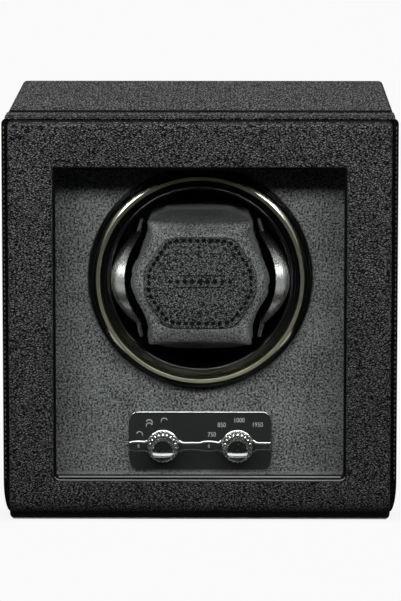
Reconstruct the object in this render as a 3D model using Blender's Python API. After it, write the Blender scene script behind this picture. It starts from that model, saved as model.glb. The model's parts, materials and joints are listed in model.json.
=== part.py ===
"""Single watch winder: a leather-covered box with a flip-up window lid. Behind the window a drum
turns on a belt drive and carries a watch cushion with sprung side bows, above two selector knobs.

Metres, +Z up, front towards -Y. The origin is on the surface that the box stands on, under the
middle of the whole outline.
"""

import math

import bmesh
import bpy
from mathutils import Matrix, Vector

MM = 0.001
GAP = 0.3 * MM  # clearance between two pieces that touch on the real object

# Case: four boards, wrapped in leather that also covers their front edges.
CASE_HALF_WIDTH = 75.0 * MM
CASE_BOTTOM = 1.2 * MM
CASE_TOP = 157.0 * MM
CASE_FRONT = -61.0 * MM
CASE_BACK = 74.0 * MM
LEATHER = 1.0 * MM
SIDE_BOARD = 11.4 * MM
FLOOR_BOARD = 10.2 * MM
BACK_RECESS = 4.3 * MM  # from the case's back edge to the boards' back edges
CASE_EDGE = 2.0 * MM
FOOT_RADIUS = 6.0 * MM
FOOT_THICKNESS = 0.9 * MM
FOOT_INSET = 14.0 * MM

# Recess: its lining, and the suede fascia at its back.
LINING = 1.0 * MM
FASCIA_FRONT = -48.0 * MM
FASCIA_THICKNESS = 5.0 * MM
FASCIA_HOLE = 43.8 * MM
BEZEL_WIDTH = 1.6 * MM

# Lid: a board that laps the case's front edge, with a raised frame round the window.
BOARD_HALF_WIDTH = 76.4 * MM
BOARD_BOTTOM = 1.6 * MM
BOARD_TOP = 155.6 * MM
BOARD_THICKNESS = 3.3 * MM
BOARD_UPPER_CORNER = 2.0 * MM
BOARD_LOWER_CORNER = 10.0 * MM
BOARD_EDGE = 1.0 * MM
FRAME_HALF_WIDTH = 73.6 * MM
FRAME_BOTTOM = 0.9 * MM
FRAME_TOP = 155.2 * MM
FRAME_FRONT = -74.0 * MM
FRAME_EDGE = 2.5 * MM
WINDOW_HALF_WIDTH = 56.5 * MM
WINDOW_BOTTOM = 16.2 * MM
WINDOW_TOP = 137.8 * MM
WINDOW_EDGE = 1.0 * MM
REBATE = 4.0 * MM
FRAME_LIP = 5.4 * MM
GLASS_THICKNESS = 2.0 * MM
RETAINER_THICKNESS = 0.8 * MM
HINGE_STRIP = 0.6 * MM
SEAM_Y = -48.0 * MM  # where the lid's leather is stitched to the top
MAGNET_RADIUS = 4.0 * MM
CASE_MAGNET_THICKNESS = 3.0 * MM
LID_MAGNET_THICKNESS = 2.0 * MM
MAGNET_Z = 7.6 * MM

# Drum: a cup with a bright rim, on an axle that turns in the chassis.
AXIS_Z = 91.6 * MM
RIM_FRONT = -54.7 * MM
RIM_BACK = -45.0 * MM
RIM_OUTER = 41.0 * MM
RIM_INNER = 38.8 * MM
CUP_INNER = 35.0 * MM
CUP_WALL = 1.6 * MM
CUP_FRONT = -51.2 * MM
CUP_FLANGE_FRONT = -48.0 * MM
CUP_FLANGE = 1.5 * MM
CUP_BACK = -7.5 * MM
CUP_FLOOR = 2.0 * MM
AXLE_RADIUS = 3.0 * MM
AXLE_BACK = 9.0 * MM
CLIP_FRONT = 6.3 * MM
CLIP_THICKNESS = 1.0 * MM
CLIP_RADIUS = 6.0 * MM

# Cushion: a core and a front pad with barrel-shaped outlines, and a leather patch on the pad.
CORE_FRONT = -56.2 * MM
CORE_BACK = -11.5 * MM
CORE_HALF_MIDDLE = 24.5 * MM
CORE_HALF_END = 19.4 * MM
CUSHION_HALF_HEIGHT = 24.0 * MM
PAD_FRONT = -61.6 * MM
PAD_HALF_MIDDLE = 27.1 * MM
PAD_HALF_END = 20.2 * MM
PAD_EDGE = 1.5 * MM
PATCH_FRONT = -62.9 * MM
PATCH_HALF_MIDDLE = 21.9 * MM
PATCH_HALF_END = 13.0 * MM
PATCH_HALF_HEIGHT = 18.0 * MM

# Side bows: sprung strips that grip the cup, guided by two pegs each.
BOW_HALF_HEIGHT = 22.0 * MM
BOW_OUTER_MIDDLE = 34.5 * MM
BOW_OUTER_END = 23.5 * MM
BOW_INNER_MIDDLE = 29.3 * MM
BOW_INNER_END = 22.1 * MM
BOW_FRONT = -53.0 * MM
BOW_SHOULDER = -50.3 * MM
BOW_BACK = -20.0 * MM
BOW_WALL = 1.2 * MM
BOW_LIP = 0.4 * MM
PEG_RADIUS = 1.2 * MM
PEG_Z = 14.0 * MM
PEG_Y = -32.0 * MM
PEG_TIP = 21.3 * MM
SOCKET_FLOOR = 18.8 * MM

# Controls.
PLATE_HALF_WIDTH = 28.0 * MM
PLATE_BOTTOM = 15.4 * MM
PLATE_TOP = 39.1 * MM
PLATE_THICKNESS = 1.2 * MM
PLATE_CORNER = 3.0 * MM
KNOB_X = 14.6 * MM
KNOB_Z = 25.3 * MM
KNOB_RADIUS = 6.2 * MM
KNOB_FLUTE = 0.35 * MM
KNOB_FLUTES = 20
KNOB_FRONT = -60.8 * MM
KNOB_BACK = -50.0 * MM
KNOB_BORE_DEPTH = 7.0 * MM
CAP_RADIUS = 4.7 * MM
CAP_FRONT = -61.2 * MM
CAP_BACK = -59.7 * MM
SHAFT_RADIUS = 2.4 * MM
SHAFT_BACK = -44.0 * MM
SWITCH_FRONT = -45.5 * MM
SWITCH_BACK = -38.0 * MM
SWITCH_HALF = 6.5 * MM
SWITCH_NECK = 3.4 * MM
CUTOUT_HALF_WIDTH = 24.0 * MM
CUTOUT_MARGIN = 2.6 * MM
CIRCUIT_FRONT = -37.7 * MM
CIRCUIT_THICKNESS = 1.6 * MM
CIRCUIT_HALF_WIDTH = 27.0 * MM
CIRCUIT_HALF_HEIGHT = 11.0 * MM
# Each component on the board's back: left, bottom, right and top edges from the middle of the board
# at the knobs' height, and how far it stands off the board, in millimetres.
COMPONENTS = ((-6, -4, 6, 4, 1.5), (-19, 1, -11, 7, 3.0), (11, 0, 17, 8, 2.2))

# Drive: a geared motor on the chassis turns the drum through a round belt.
CHASSIS_FRONT = 2.0 * MM
CHASSIS_THICKNESS = 1.5 * MM
CHASSIS_HALF_WIDTH = 54.0 * MM
CHASSIS_BOTTOM = 22.0 * MM
CHASSIS_TOP = 141.0 * MM
SPACER_RADIUS = 3.5 * MM
SPACER_X = 48.0 * MM
SPACER_Z = 45.0 * MM
MOTOR_DROP = 55.6 * MM  # from the drum's axis down to the motor's
GEARBOX_RADIUS = 15.0 * MM
GEARBOX_BACK = 17.0 * MM
MOTOR_RADIUS = 12.0 * MM
MOTOR_BACK = 40.0 * MM
MOTOR_EDGE = 1.5 * MM
MOTOR_SHAFT = 1.5 * MM
MOTOR_BORE_DEPTH = 6.0 * MM
BELT_FRONT = -5.4 * MM
BELT_WIDTH = 2.4 * MM
BELT_THICKNESS = 1.6 * MM
DRUM_PULLEY_GROOVE = 28.0 * MM
MOTOR_PULLEY_GROOVE = 4.0 * MM
PULLEY_FLANGE = 2.0 * MM
DRUM_PULLEY_FRONT = -7.2 * MM
DRUM_PULLEY_BACK = -1.2 * MM
BUSH_FRONT = -0.7 * MM
BUSH_FLANGE_RADIUS = 9.0 * MM
BUSH_RADIUS = 5.5 * MM
BUSH_BACK = 6.0 * MM

# Back cover, its screws and the power inlet.
COVER_THICKNESS = 1.8 * MM
SCREW_X = 68.0 * MM
SCREW_LOW = 20.0 * MM
SCREW_HIGH = 137.0 * MM
SCREW_LENGTH = 12.0 * MM
SCREW_RADIUS = 1.4 * MM
SCREW_HEAD_RADIUS = 3.0 * MM
SCREW_HEAD = 1.2 * MM
JACK_X = 35.0 * MM
JACK_Z = 24.0 * MM
JACK_RADIUS = 4.0 * MM
JACK_FLANGE = 6.0 * MM
JACK_FLANGE_THICKNESS = 1.2 * MM
JACK_LENGTH = 10.0 * MM
JACK_BORE = 2.8 * MM
JACK_BORE_DEPTH = 9.2 * MM
JACK_PIN = 1.0 * MM
NUT_THICKNESS = 2.2 * MM
SLOT_COUNT = 5
SLOT_PITCH = 6.0 * MM
SLOT_HALF_LENGTH = 18.0 * MM
LEAD_RADIUS = 1.2 * MM
LEAD_FLOOR = 16.5 * MM

ROUND_STEPS = 48
SMALL_STEPS = 20
FLUTE_STEPS = 3
CORNER_STEPS = 4
BARREL_STEPS = 10

SIDE_NAMES = {-1: "left", 1: "right"}
LEVEL_NAMES = {-1: "low", 1: "high"}

# The boards' faces, from the case's outline.
WALL_X = CASE_HALF_WIDTH - LEATHER - GAP
INSIDE_X = WALL_X - SIDE_BOARD
FLOOR_Z = CASE_BOTTOM + LEATHER + GAP + FLOOR_BOARD
CEILING_Z = CASE_TOP - LEATHER - GAP - SIDE_BOARD
BOARDS_FRONT = CASE_FRONT + LEATHER + GAP
BOARDS_BACK = CASE_BACK - BACK_RECESS
COVER_FRONT = BOARDS_BACK + GAP
COVER_BACK = COVER_FRONT + COVER_THICKNESS
FASCIA_BACK = FASCIA_FRONT + FASCIA_THICKNESS
LID_BACK = CASE_FRONT - GAP
FRAME_BACK = LID_BACK - BOARD_THICKNESS - GAP
PLATE_BACK = FASCIA_FRONT - GAP
BELT_BACK = BELT_FRONT + BELT_WIDTH

# Name of a finish: its colour, roughness and metallic value.
FINISHES = {
    "pebbled_leather": ((0.030, 0.030, 0.032), 0.45, 0.0),
    "smooth_leather": ((0.045, 0.045, 0.048), 0.50, 0.0),
    "suede": ((0.085, 0.090, 0.086), 0.95, 0.0),
    "fibreboard": ((0.36, 0.25, 0.15), 0.80, 0.0),
    "clear_glass": ((0.90, 0.93, 0.93), 0.05, 0.0),
    "black_plastic": ((0.012, 0.012, 0.013), 0.35, 0.0),
    "gloss_black": ((0.008, 0.008, 0.009), 0.08, 0.0),
    "gunmetal": ((0.14, 0.14, 0.13), 0.18, 1.0),
    "chrome": ((0.80, 0.80, 0.82), 0.12, 1.0),
    "steel": ((0.48, 0.48, 0.50), 0.35, 1.0),
    "brass": ((0.70, 0.53, 0.25), 0.30, 1.0),
    "rubber": ((0.020, 0.020, 0.020), 0.80, 0.0),
    "circuit_green": ((0.02, 0.16, 0.07), 0.45, 0.0),
}


def finish(name):
    """The material of this name, made the first time it is asked for."""
    if name in bpy.data.materials:
        return bpy.data.materials[name]
    colour, roughness, metallic = FINISHES[name]
    made = bpy.data.materials.new(name)
    made.use_nodes = True
    shader = made.node_tree.nodes["Principled BSDF"]
    shader.inputs["Base Color"].default_value = (*colour, 1.0)
    shader.inputs["Roughness"].default_value = roughness
    shader.inputs["Metallic"].default_value = metallic
    return made


def clear_scene():
    for old in list(bpy.data.objects):
        bpy.data.objects.remove(old, do_unlink=True)


def axis_empty(name, place):
    """An empty on a moving body's axis, which is the parent of the body's pieces."""
    empty = bpy.data.objects.new(name, None)
    empty.location = place
    empty.empty_display_size = 10 * MM
    bpy.context.scene.collection.objects.link(empty)
    return empty


def add_object(name, bm, material, parent=None, place=(0.0, 0.0, 0.0)):
    """An object from a bmesh, shaded smooth except at its sharp edges."""
    bmesh.ops.recalc_face_normals(bm, faces=bm.faces)
    mesh = bpy.data.meshes.new(name)
    bm.to_mesh(mesh)
    bm.free()
    mesh.shade_smooth()
    mesh.set_sharp_from_angle(angle=math.radians(35))
    made = bpy.data.objects.new(name, mesh)
    made.location = place
    made.parent = parent
    made.data.materials.append(finish(material))
    bpy.context.scene.collection.objects.link(made)
    return made


def bridge(bm, ring, following):
    """Faces between two rings of equal length, either of which may be a single point."""
    count = max(len(ring), len(following))
    for here in range(count):
        there = (here + 1) % count
        corners = [
            ring[here % len(ring)],
            ring[there % len(ring)],
            following[there % len(following)],
            following[here % len(following)],
        ]
        corners = list(dict.fromkeys(corners))
        if len(corners) > 2:
            bm.faces.new(corners)


def lofted(name, sections, material, parent=None, hollow=False):
    """A solid through outlines in XZ, each given as (y, outline). A hollow one closes on itself."""
    bm = bmesh.new()
    rings = [[bm.verts.new((x, y, z)) for x, z in outline] for y, outline in sections]
    for ring, following in zip(rings, rings[1:]):
        bridge(bm, ring, following)
    if hollow:
        bridge(bm, rings[-1], rings[0])
    else:
        bm.faces.new(rings[0])
        bm.faces.new(rings[-1])
    return add_object(name, bm, material, parent)


def turned(name, profile, material, parent=None, steps=ROUND_STEPS, place=(0.0, 0.0, 0.0)):
    """A solid of revolution about its local Y axis, from the (radius, y) points round its section."""
    bm = bmesh.new()
    rings = []
    for radius, y in profile:
        points = circle(radius, steps) if radius > 0 else [(0.0, 0.0)]
        rings.append([bm.verts.new((x, y, z)) for x, z in points])
    for ring, following in zip(rings, rings[1:] + rings[:1]):
        bridge(bm, ring, following)
    return add_object(name, bm, material, parent, place)


def block(name, low, high, material, parent=None, edge=0.0):
    """A box between two corners, with its edges rounded where edge is given."""
    bm = bmesh.new()
    size = Vector(high) - Vector(low)
    bmesh.ops.create_cube(bm, size=1.0, matrix=Matrix.Diagonal((*size, 1.0)))
    middle = (Vector(low) + Vector(high)) / 2
    made = add_object(name, bm, material, parent, middle)
    if edge:
        bevel = made.modifiers.new("edge", "BEVEL")
        bevel.width = edge
        bevel.segments = 2
    return made


def circle(radius, steps):
    turn = 2 * math.pi / steps
    return [(radius * math.cos(turn * i), radius * math.sin(turn * i)) for i in range(steps)]


def rounded_rectangle(half_width, low, high, upper_corner, lower_corner=None):
    """An outline in XZ that starts at its upper right corner and runs anticlockwise."""
    lower_corner = lower_corner or upper_corner
    corners = (
        (1, high - upper_corner, upper_corner, 0),
        (-1, high - upper_corner, upper_corner, 90),
        (-1, low + lower_corner, lower_corner, 180),
        (1, low + lower_corner, lower_corner, 270),
    )
    points = []
    for side, centre_z, radius, start in corners:
        centre_x = side * (half_width - radius)
        for step in range(CORNER_STEPS + 1):
            angle = math.radians(start + 90 * step / CORNER_STEPS)
            points.append((centre_x + radius * math.cos(angle), centre_z + radius * math.sin(angle)))
    return points


def bulge(middle, end, half_height, z):
    """The x at height z of an arc through (end, -half_height), (middle, 0) and (end, half_height)."""
    rise = middle - end
    radius = (rise**2 + half_height**2) / (2 * rise)
    return middle - radius + math.sqrt(radius**2 - z**2)


def barrel(half_middle, half_end, half_height):
    """An outline in XZ with flat ends and bulging sides."""
    heights = [half_height * (2 * i / BARREL_STEPS - 1) for i in range(BARREL_STEPS + 1)]
    right = [(bulge(half_middle, half_end, half_height, z), z) for z in heights]
    return right + [(-x, z) for x, z in reversed(right)]


def hide_helper(helper):
    helper.hide_render = True
    helper.display_type = "WIRE"


def combine(target, helper, operation):
    """Cuts the helper from the target, or joins it to the target."""
    hide_helper(helper)
    boolean = target.modifiers.new(helper.name, "BOOLEAN")
    boolean.operation = operation
    boolean.object = helper


def bore_y(target, name, radius, x, z, front, back, steps=SMALL_STEPS):
    """A round hole along Y through the target, between two depths."""
    profile = [(0, front), (radius, front), (radius, back), (0, back)]
    cutter = turned(f"cut_{name}", profile, "steel", steps=steps, place=(x, 0.0, z))
    combine(target, cutter, "DIFFERENCE")


def pocket(target, name, low, high):
    """A rectangular cut-out from the target."""
    combine(target, block(f"cut_{name}", low, high, "steel"), "DIFFERENCE")


def build_boards():
    """The four boards of the carcass. The side boards stand between the floor and the top."""
    front, back = BOARDS_FRONT, BOARDS_BACK
    floor_low = FLOOR_Z - FLOOR_BOARD
    top_high = (WALL_X, back, CEILING_Z + SIDE_BOARD)
    block("case_top_board", (-WALL_X, front, CEILING_Z), top_high, "fibreboard")
    floor = block("case_bottom_board", (-WALL_X, front, floor_low), (WALL_X, back, FLOOR_Z), "fibreboard")
    pocket_back = front + CASE_MAGNET_THICKNESS + 2 * GAP
    bore_y(floor, "case_magnet", MAGNET_RADIUS + GAP, 0, MAGNET_Z, front - GAP, pocket_back)
    for side, label in SIDE_NAMES.items():
        low_x, high_x = sorted((side * INSIDE_X, side * WALL_X))
        low = (low_x, front, FLOOR_Z + GAP)
        high = (high_x, back, CEILING_Z - GAP)
        board = block(f"case_{label}_board", low, high, "fibreboard")
        for z, level in ((SCREW_LOW, "low"), (SCREW_HIGH, "high")):
            ends = (back - SCREW_LENGTH, back + GAP)
            bore_y(board, f"pilot_{label}_{level}", SCREW_RADIUS + GAP, side * SCREW_X, z, *ends)


def build_case_leather():
    """The wrap: a tube with a front lip over the boards' edges, notched where the hinge strip lies."""

    def outer(inset):
        edge = max(CASE_EDGE - inset, GAP)
        return rounded_rectangle(CASE_HALF_WIDTH - inset, CASE_BOTTOM + inset, CASE_TOP - inset, edge)

    mouth = rounded_rectangle(INSIDE_X, FLOOR_Z, CEILING_Z, GAP)
    sections = [
        (CASE_BACK, outer(LEATHER)),
        (CASE_BACK, outer(0)),
        (CASE_FRONT + LEATHER / 2, outer(0)),
        (CASE_FRONT, outer(LEATHER / 2)),
        (CASE_FRONT, mouth),
        (CASE_FRONT + LEATHER, mouth),
        (CASE_FRONT + LEATHER, outer(LEATHER)),
    ]
    wrap = lofted("case_leather", sections, "pebbled_leather", hollow=True)
    notch_low = (-CASE_HALF_WIDTH - LEATHER, CASE_FRONT - LEATHER, CASE_TOP - LEATHER - GAP)
    notch_high = (CASE_HALF_WIDTH + LEATHER, SEAM_Y + GAP, CASE_TOP + LEATHER)
    pocket(wrap, "hinge_notch", notch_low, notch_high)
    strip_low = (-CASE_HALF_WIDTH, CASE_FRONT, CASE_TOP - LEATHER)
    strip_high = (CASE_HALF_WIDTH, SEAM_Y, CASE_TOP)
    block("hinge_strip_case", strip_low, strip_high, "pebbled_leather", edge=GAP)


def build_feet():
    foot_x = CASE_HALF_WIDTH - FOOT_INSET
    places = [(x, y) for y in (CASE_FRONT + FOOT_INSET, CASE_BACK - FOOT_INSET) for x in (-foot_x, foot_x)]
    for number, (x, y) in enumerate(places, 1):
        bm = bmesh.new()
        bmesh.ops.create_cone(
            bm,
            cap_ends=True,
            segments=SMALL_STEPS,
            radius1=FOOT_RADIUS,
            radius2=FOOT_RADIUS - FOOT_THICKNESS / 2,
            depth=FOOT_THICKNESS,
        )
        add_object(f"foot_{number}", bm, "rubber", place=(x, y, FOOT_THICKNESS / 2))


def build_recess():
    """The lining of the recess, the suede fascia with its hole and cut-out, and the drum's bezel."""
    inside = [INSIDE_X - GAP, FLOOR_Z + GAP, CEILING_Z - GAP]
    outer = rounded_rectangle(*inside, 2 * GAP)
    inner = rounded_rectangle(inside[0] - LINING, inside[1] + LINING, inside[2] - LINING, GAP)
    front, back = CASE_FRONT + GAP, FASCIA_FRONT - GAP
    sections = [(front, outer), (back, outer), (back, inner), (front, inner)]
    lofted("recess_lining", sections, "suede", hollow=True)

    low = (-inside[0], FASCIA_FRONT, inside[1])
    high = (inside[0], FASCIA_BACK, inside[2])
    fascia = block("fascia_panel", low, high, "suede")
    through = (FASCIA_FRONT - LEATHER, FASCIA_BACK + LEATHER)
    bore_y(fascia, "drum_hole", FASCIA_HOLE, 0, AXIS_Z, *through, steps=ROUND_STEPS)
    low = (-CUTOUT_HALF_WIDTH, through[0], PLATE_BOTTOM + CUTOUT_MARGIN)
    high = (CUTOUT_HALF_WIDTH, through[1], PLATE_TOP - CUTOUT_MARGIN)
    pocket(fascia, "control_cutout", low, high)

    outer_radius = FASCIA_HOLE - GAP
    inner_radius = outer_radius - BEZEL_WIDTH
    ring_front, ring_back = FASCIA_FRONT - GAP, FASCIA_BACK - GAP
    profile = [
        (inner_radius, ring_back),
        (outer_radius, ring_back),
        (outer_radius, ring_front + GAP),
        (outer_radius - GAP, ring_front),
        (inner_radius + GAP, ring_front),
        (inner_radius, ring_front + GAP),
    ]
    turned("drum_bezel", profile, "black_plastic", place=(0, 0, AXIS_Z))


def window_outline(grow):
    low, high = WINDOW_BOTTOM - grow, WINDOW_TOP + grow
    return rounded_rectangle(WINDOW_HALF_WIDTH + grow, low, high, WINDOW_EDGE)


def build_lid_board(axis):
    """The flat board of the lid, with rounded lower corners and a pocket for its magnet."""

    def outer(inset):
        sizes = (BOARD_HALF_WIDTH - inset, BOARD_BOTTOM + inset, BOARD_TOP - inset)
        return rounded_rectangle(*sizes, BOARD_UPPER_CORNER - inset, BOARD_LOWER_CORNER - inset)

    front = LID_BACK - BOARD_THICKNESS
    sections = [
        (LID_BACK, window_outline(0)),
        (LID_BACK, outer(BOARD_EDGE / 2)),
        (LID_BACK - BOARD_EDGE / 2, outer(0)),
        (front + BOARD_EDGE, outer(0)),
        (front, outer(BOARD_EDGE)),
        (front, window_outline(0)),
    ]
    board = lofted("lid_board", sections, "pebbled_leather", axis, hollow=True)
    depth = LID_BACK - LID_MAGNET_THICKNESS - GAP
    bore_y(board, "lid_magnet", MAGNET_RADIUS + GAP, 0, MAGNET_Z, depth, LID_BACK + GAP)


def build_lid_frame(axis):
    """The raised frame round the window. A rebate behind its lip holds the glass and the retainer."""

    def outer(inset):
        corner = FRAME_EDGE + WINDOW_EDGE - inset
        return rounded_rectangle(FRAME_HALF_WIDTH - inset, FRAME_BOTTOM + inset, FRAME_TOP - inset, corner)

    slope = 1 - math.sqrt(0.5)
    lip_back = FRAME_FRONT + FRAME_LIP
    sections = [
        (FRAME_BACK, outer(0)),
        (FRAME_FRONT + FRAME_EDGE, outer(0)),
        (FRAME_FRONT + FRAME_EDGE * slope, outer(FRAME_EDGE * slope)),
        (FRAME_FRONT, outer(FRAME_EDGE)),
        (FRAME_FRONT, window_outline(WINDOW_EDGE)),
        (FRAME_FRONT + WINDOW_EDGE * slope, window_outline(WINDOW_EDGE * slope)),
        (FRAME_FRONT + WINDOW_EDGE, window_outline(0)),
        (lip_back, window_outline(0)),
        (lip_back, window_outline(REBATE)),
        (FRAME_BACK, window_outline(REBATE)),
    ]
    lofted("lid_frame", sections, "pebbled_leather", axis, hollow=True)

    glass_front = lip_back + GAP
    glass_back = glass_front + GLASS_THICKNESS
    pane = window_outline(REBATE - GAP)
    lofted("window_glass", [(glass_front, pane), (glass_back, pane)], "clear_glass", axis)
    front, back = glass_back + GAP, glass_back + GAP + RETAINER_THICKNESS
    inner = window_outline(0)
    sections = [(front, pane), (back, pane), (back, inner), (front, inner)]
    lofted("glass_retainer", sections, "black_plastic", axis, hollow=True)


def build_lid():
    """The lid turns about the front edge of the case's top, along the fold in its leather."""
    hinge = axis_empty("lid_axis", (0.0, CASE_FRONT, CASE_TOP))
    inverse = Matrix.Translation((0.0, -CASE_FRONT, -CASE_TOP))
    build_lid_board(hinge)
    build_lid_frame(hinge)
    strip_low = (-CASE_HALF_WIDTH, FRAME_BACK - GAP, BOARD_TOP + GAP)
    strip_high = (CASE_HALF_WIDTH, LID_BACK - GAP, BOARD_TOP + GAP + HINGE_STRIP)
    block("hinge_strip_lid", strip_low, strip_high, "pebbled_leather", hinge)
    disc(hinge, "lid_magnet", LID_BACK - GAP, -LID_MAGNET_THICKNESS, MAGNET_RADIUS, MAGNET_Z)
    for piece in hinge.children:
        piece.matrix_parent_inverse = inverse
    case_magnet_front = BOARDS_FRONT + GAP
    disc(None, "case_magnet", case_magnet_front, CASE_MAGNET_THICKNESS, MAGNET_RADIUS, MAGNET_Z)


def disc(parent, name, start, length, radius, z):
    """A plain steel disc on the middle line, from one depth over a length along Y."""
    front, back = sorted((start, start + length))
    profile = [(0, front), (radius, front), (radius, back), (0, back)]
    turned(name, profile, "steel", parent, SMALL_STEPS, (0.0, 0.0, z))


def build_drum():
    """The cup, its rim, the belt pulley, the axle and the clip. They turn together."""
    axis = axis_empty("drum_axis", (0.0, 0.0, AXIS_Z))
    outer = CUP_INNER + CUP_WALL
    flange = RIM_INNER - GAP
    fillet = CUP_WALL / 2
    cup = [
        (0, CUP_BACK - CUP_FLOOR),
        (CUP_INNER - fillet, CUP_BACK - CUP_FLOOR),
        (CUP_INNER, CUP_BACK - CUP_FLOOR - fillet),
        (CUP_INNER, CUP_FRONT + fillet),
        (CUP_INNER + fillet / 2, CUP_FRONT),
        (outer - fillet / 2, CUP_FRONT),
        (outer, CUP_FRONT + fillet),
        (outer, CUP_FLANGE_FRONT),
        (flange, CUP_FLANGE_FRONT),
        (flange, CUP_FLANGE_FRONT + CUP_FLANGE),
        (outer, CUP_FLANGE_FRONT + CUP_FLANGE),
        (outer, CUP_BACK - fillet),
        (outer - fillet, CUP_BACK),
        (0, CUP_BACK),
    ]
    turned("drum_cup", cup, "black_plastic", axis)

    width = RIM_OUTER - RIM_INNER
    crown = [180 - 36 * step for step in range(6)]
    rim = [(RIM_OUTER, RIM_BACK), (RIM_INNER, RIM_BACK)]
    for angle in map(math.radians, crown):
        middle = (RIM_INNER + RIM_OUTER) / 2
        rim.append((middle + width / 2 * math.cos(angle), RIM_FRONT + width / 2 * (1 - math.sin(angle))))
    turned("drum_rim", rim, "gunmetal", axis)

    bore = AXLE_RADIUS + GAP
    pulley = pulley_profile(DRUM_PULLEY_FRONT, DRUM_PULLEY_BACK, DRUM_PULLEY_GROOVE, bore)
    turned("drum_pulley", pulley, "black_plastic", axis)
    axle_front = DRUM_PULLEY_FRONT + GAP
    axle = [(0, axle_front), (AXLE_RADIUS, axle_front), (AXLE_RADIUS, AXLE_BACK), (0, AXLE_BACK)]
    turned("drum_axle", axle, "steel", axis, SMALL_STEPS)
    clip_back = CLIP_FRONT + CLIP_THICKNESS
    clip = [(bore, CLIP_FRONT), (CLIP_RADIUS, CLIP_FRONT), (CLIP_RADIUS, clip_back), (bore, clip_back)]
    turned("axle_clip", clip, "steel", axis, SMALL_STEPS)
    return axis


def pulley_profile(front, back, groove, bore):
    """The section of a pulley whose groove takes the belt with a clearance each side."""
    rim = groove + PULLEY_FLANGE
    return [
        (bore, front),
        (rim, front),
        (rim, BELT_FRONT - GAP),
        (groove, BELT_FRONT - GAP),
        (groove, BELT_BACK + GAP),
        (rim, BELT_BACK + GAP),
        (rim, back),
        (bore, back),
    ]


def build_cushion(axis):
    """The core with sockets for the bows' pegs, the front pad and the patch on it."""
    core_outline = barrel(CORE_HALF_MIDDLE, CORE_HALF_END, CUSHION_HALF_HEIGHT)
    core = lofted("cushion_core", [(CORE_FRONT, core_outline), (CORE_BACK, core_outline)], "suede", axis)
    for side in (-1, 1):
        for level in (-1, 1):
            name = f"cut_socket_{SIDE_NAMES[side]}_{LEVEL_NAMES[level]}"
            socket = peg(name, side, level, PEG_RADIUS + GAP, SOCKET_FLOOR, BOW_OUTER_MIDDLE, axis)
            combine(core, socket, "DIFFERENCE")

    pad_sizes = (PAD_HALF_MIDDLE, PAD_HALF_END, CUSHION_HALF_HEIGHT)
    pad = [
        (CORE_FRONT - GAP, barrel(*pad_sizes)),
        (PAD_FRONT + PAD_EDGE, barrel(*pad_sizes)),
        (PAD_FRONT, barrel(*[size - PAD_EDGE for size in pad_sizes])),
    ]
    lofted("cushion_pad", pad, "suede", axis)
    patch = barrel(PATCH_HALF_MIDDLE, PATCH_HALF_END, PATCH_HALF_HEIGHT)
    lofted("cushion_patch", [(PAD_FRONT - GAP, patch), (PATCH_FRONT, patch)], "smooth_leather", axis)


def peg(name, side, level, radius, tip, root, axis):
    """A round peg along X at a bow's peg height, between two distances from the middle."""
    bm = bmesh.new()
    turn = Matrix.Rotation(math.pi / 2, 4, "Y")
    middle = Matrix.Translation((side * (tip + root) / 2, PEG_Y, level * PEG_Z))
    bmesh.ops.create_cone(
        bm,
        cap_ends=True,
        segments=SMALL_STEPS // 2,
        radius1=radius,
        radius2=radius,
        depth=root - tip,
        matrix=middle @ turn,
    )
    return add_object(name, bm, "gunmetal", axis)


def build_bow(label, side, axis):
    """One side bow: a strip that slopes out from its front edge and then runs back along the cup."""
    bm = bmesh.new()
    rings = []
    for step in range(2 * BARREL_STEPS + 1):
        z = BOW_HALF_HEIGHT * math.sin(math.pi / 2 * (step / BARREL_STEPS - 1))
        outer = bulge(BOW_OUTER_MIDDLE, BOW_OUTER_END, BOW_HALF_HEIGHT, z)
        inner = bulge(BOW_INNER_MIDDLE, BOW_INNER_END, BOW_HALF_HEIGHT, z)
        section = [
            (inner, BOW_FRONT + BOW_WALL),
            (inner + BOW_LIP, BOW_FRONT),
            (outer, BOW_SHOULDER),
            (outer, BOW_BACK),
            (outer - BOW_WALL, BOW_BACK),
            (outer - BOW_WALL, BOW_SHOULDER + BOW_WALL / 2),
        ]
        rings.append([bm.verts.new((side * x, y, z)) for x, y in section])
    for ring, following in zip(rings, rings[1:]):
        bridge(bm, ring, following)
    bm.faces.new(rings[0])
    bm.faces.new(rings[-1])
    bow = add_object(f"bow_{label}", bm, "gunmetal", axis)
    root = bulge(BOW_OUTER_MIDDLE, BOW_OUTER_END, BOW_HALF_HEIGHT, PEG_Z) - BOW_WALL / 2
    for level in (-1, 1):
        name = f"join_peg_{label}_{LEVEL_NAMES[level]}"
        combine(bow, peg(name, side, level, PEG_RADIUS, PEG_TIP, root, axis), "UNION")


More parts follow.
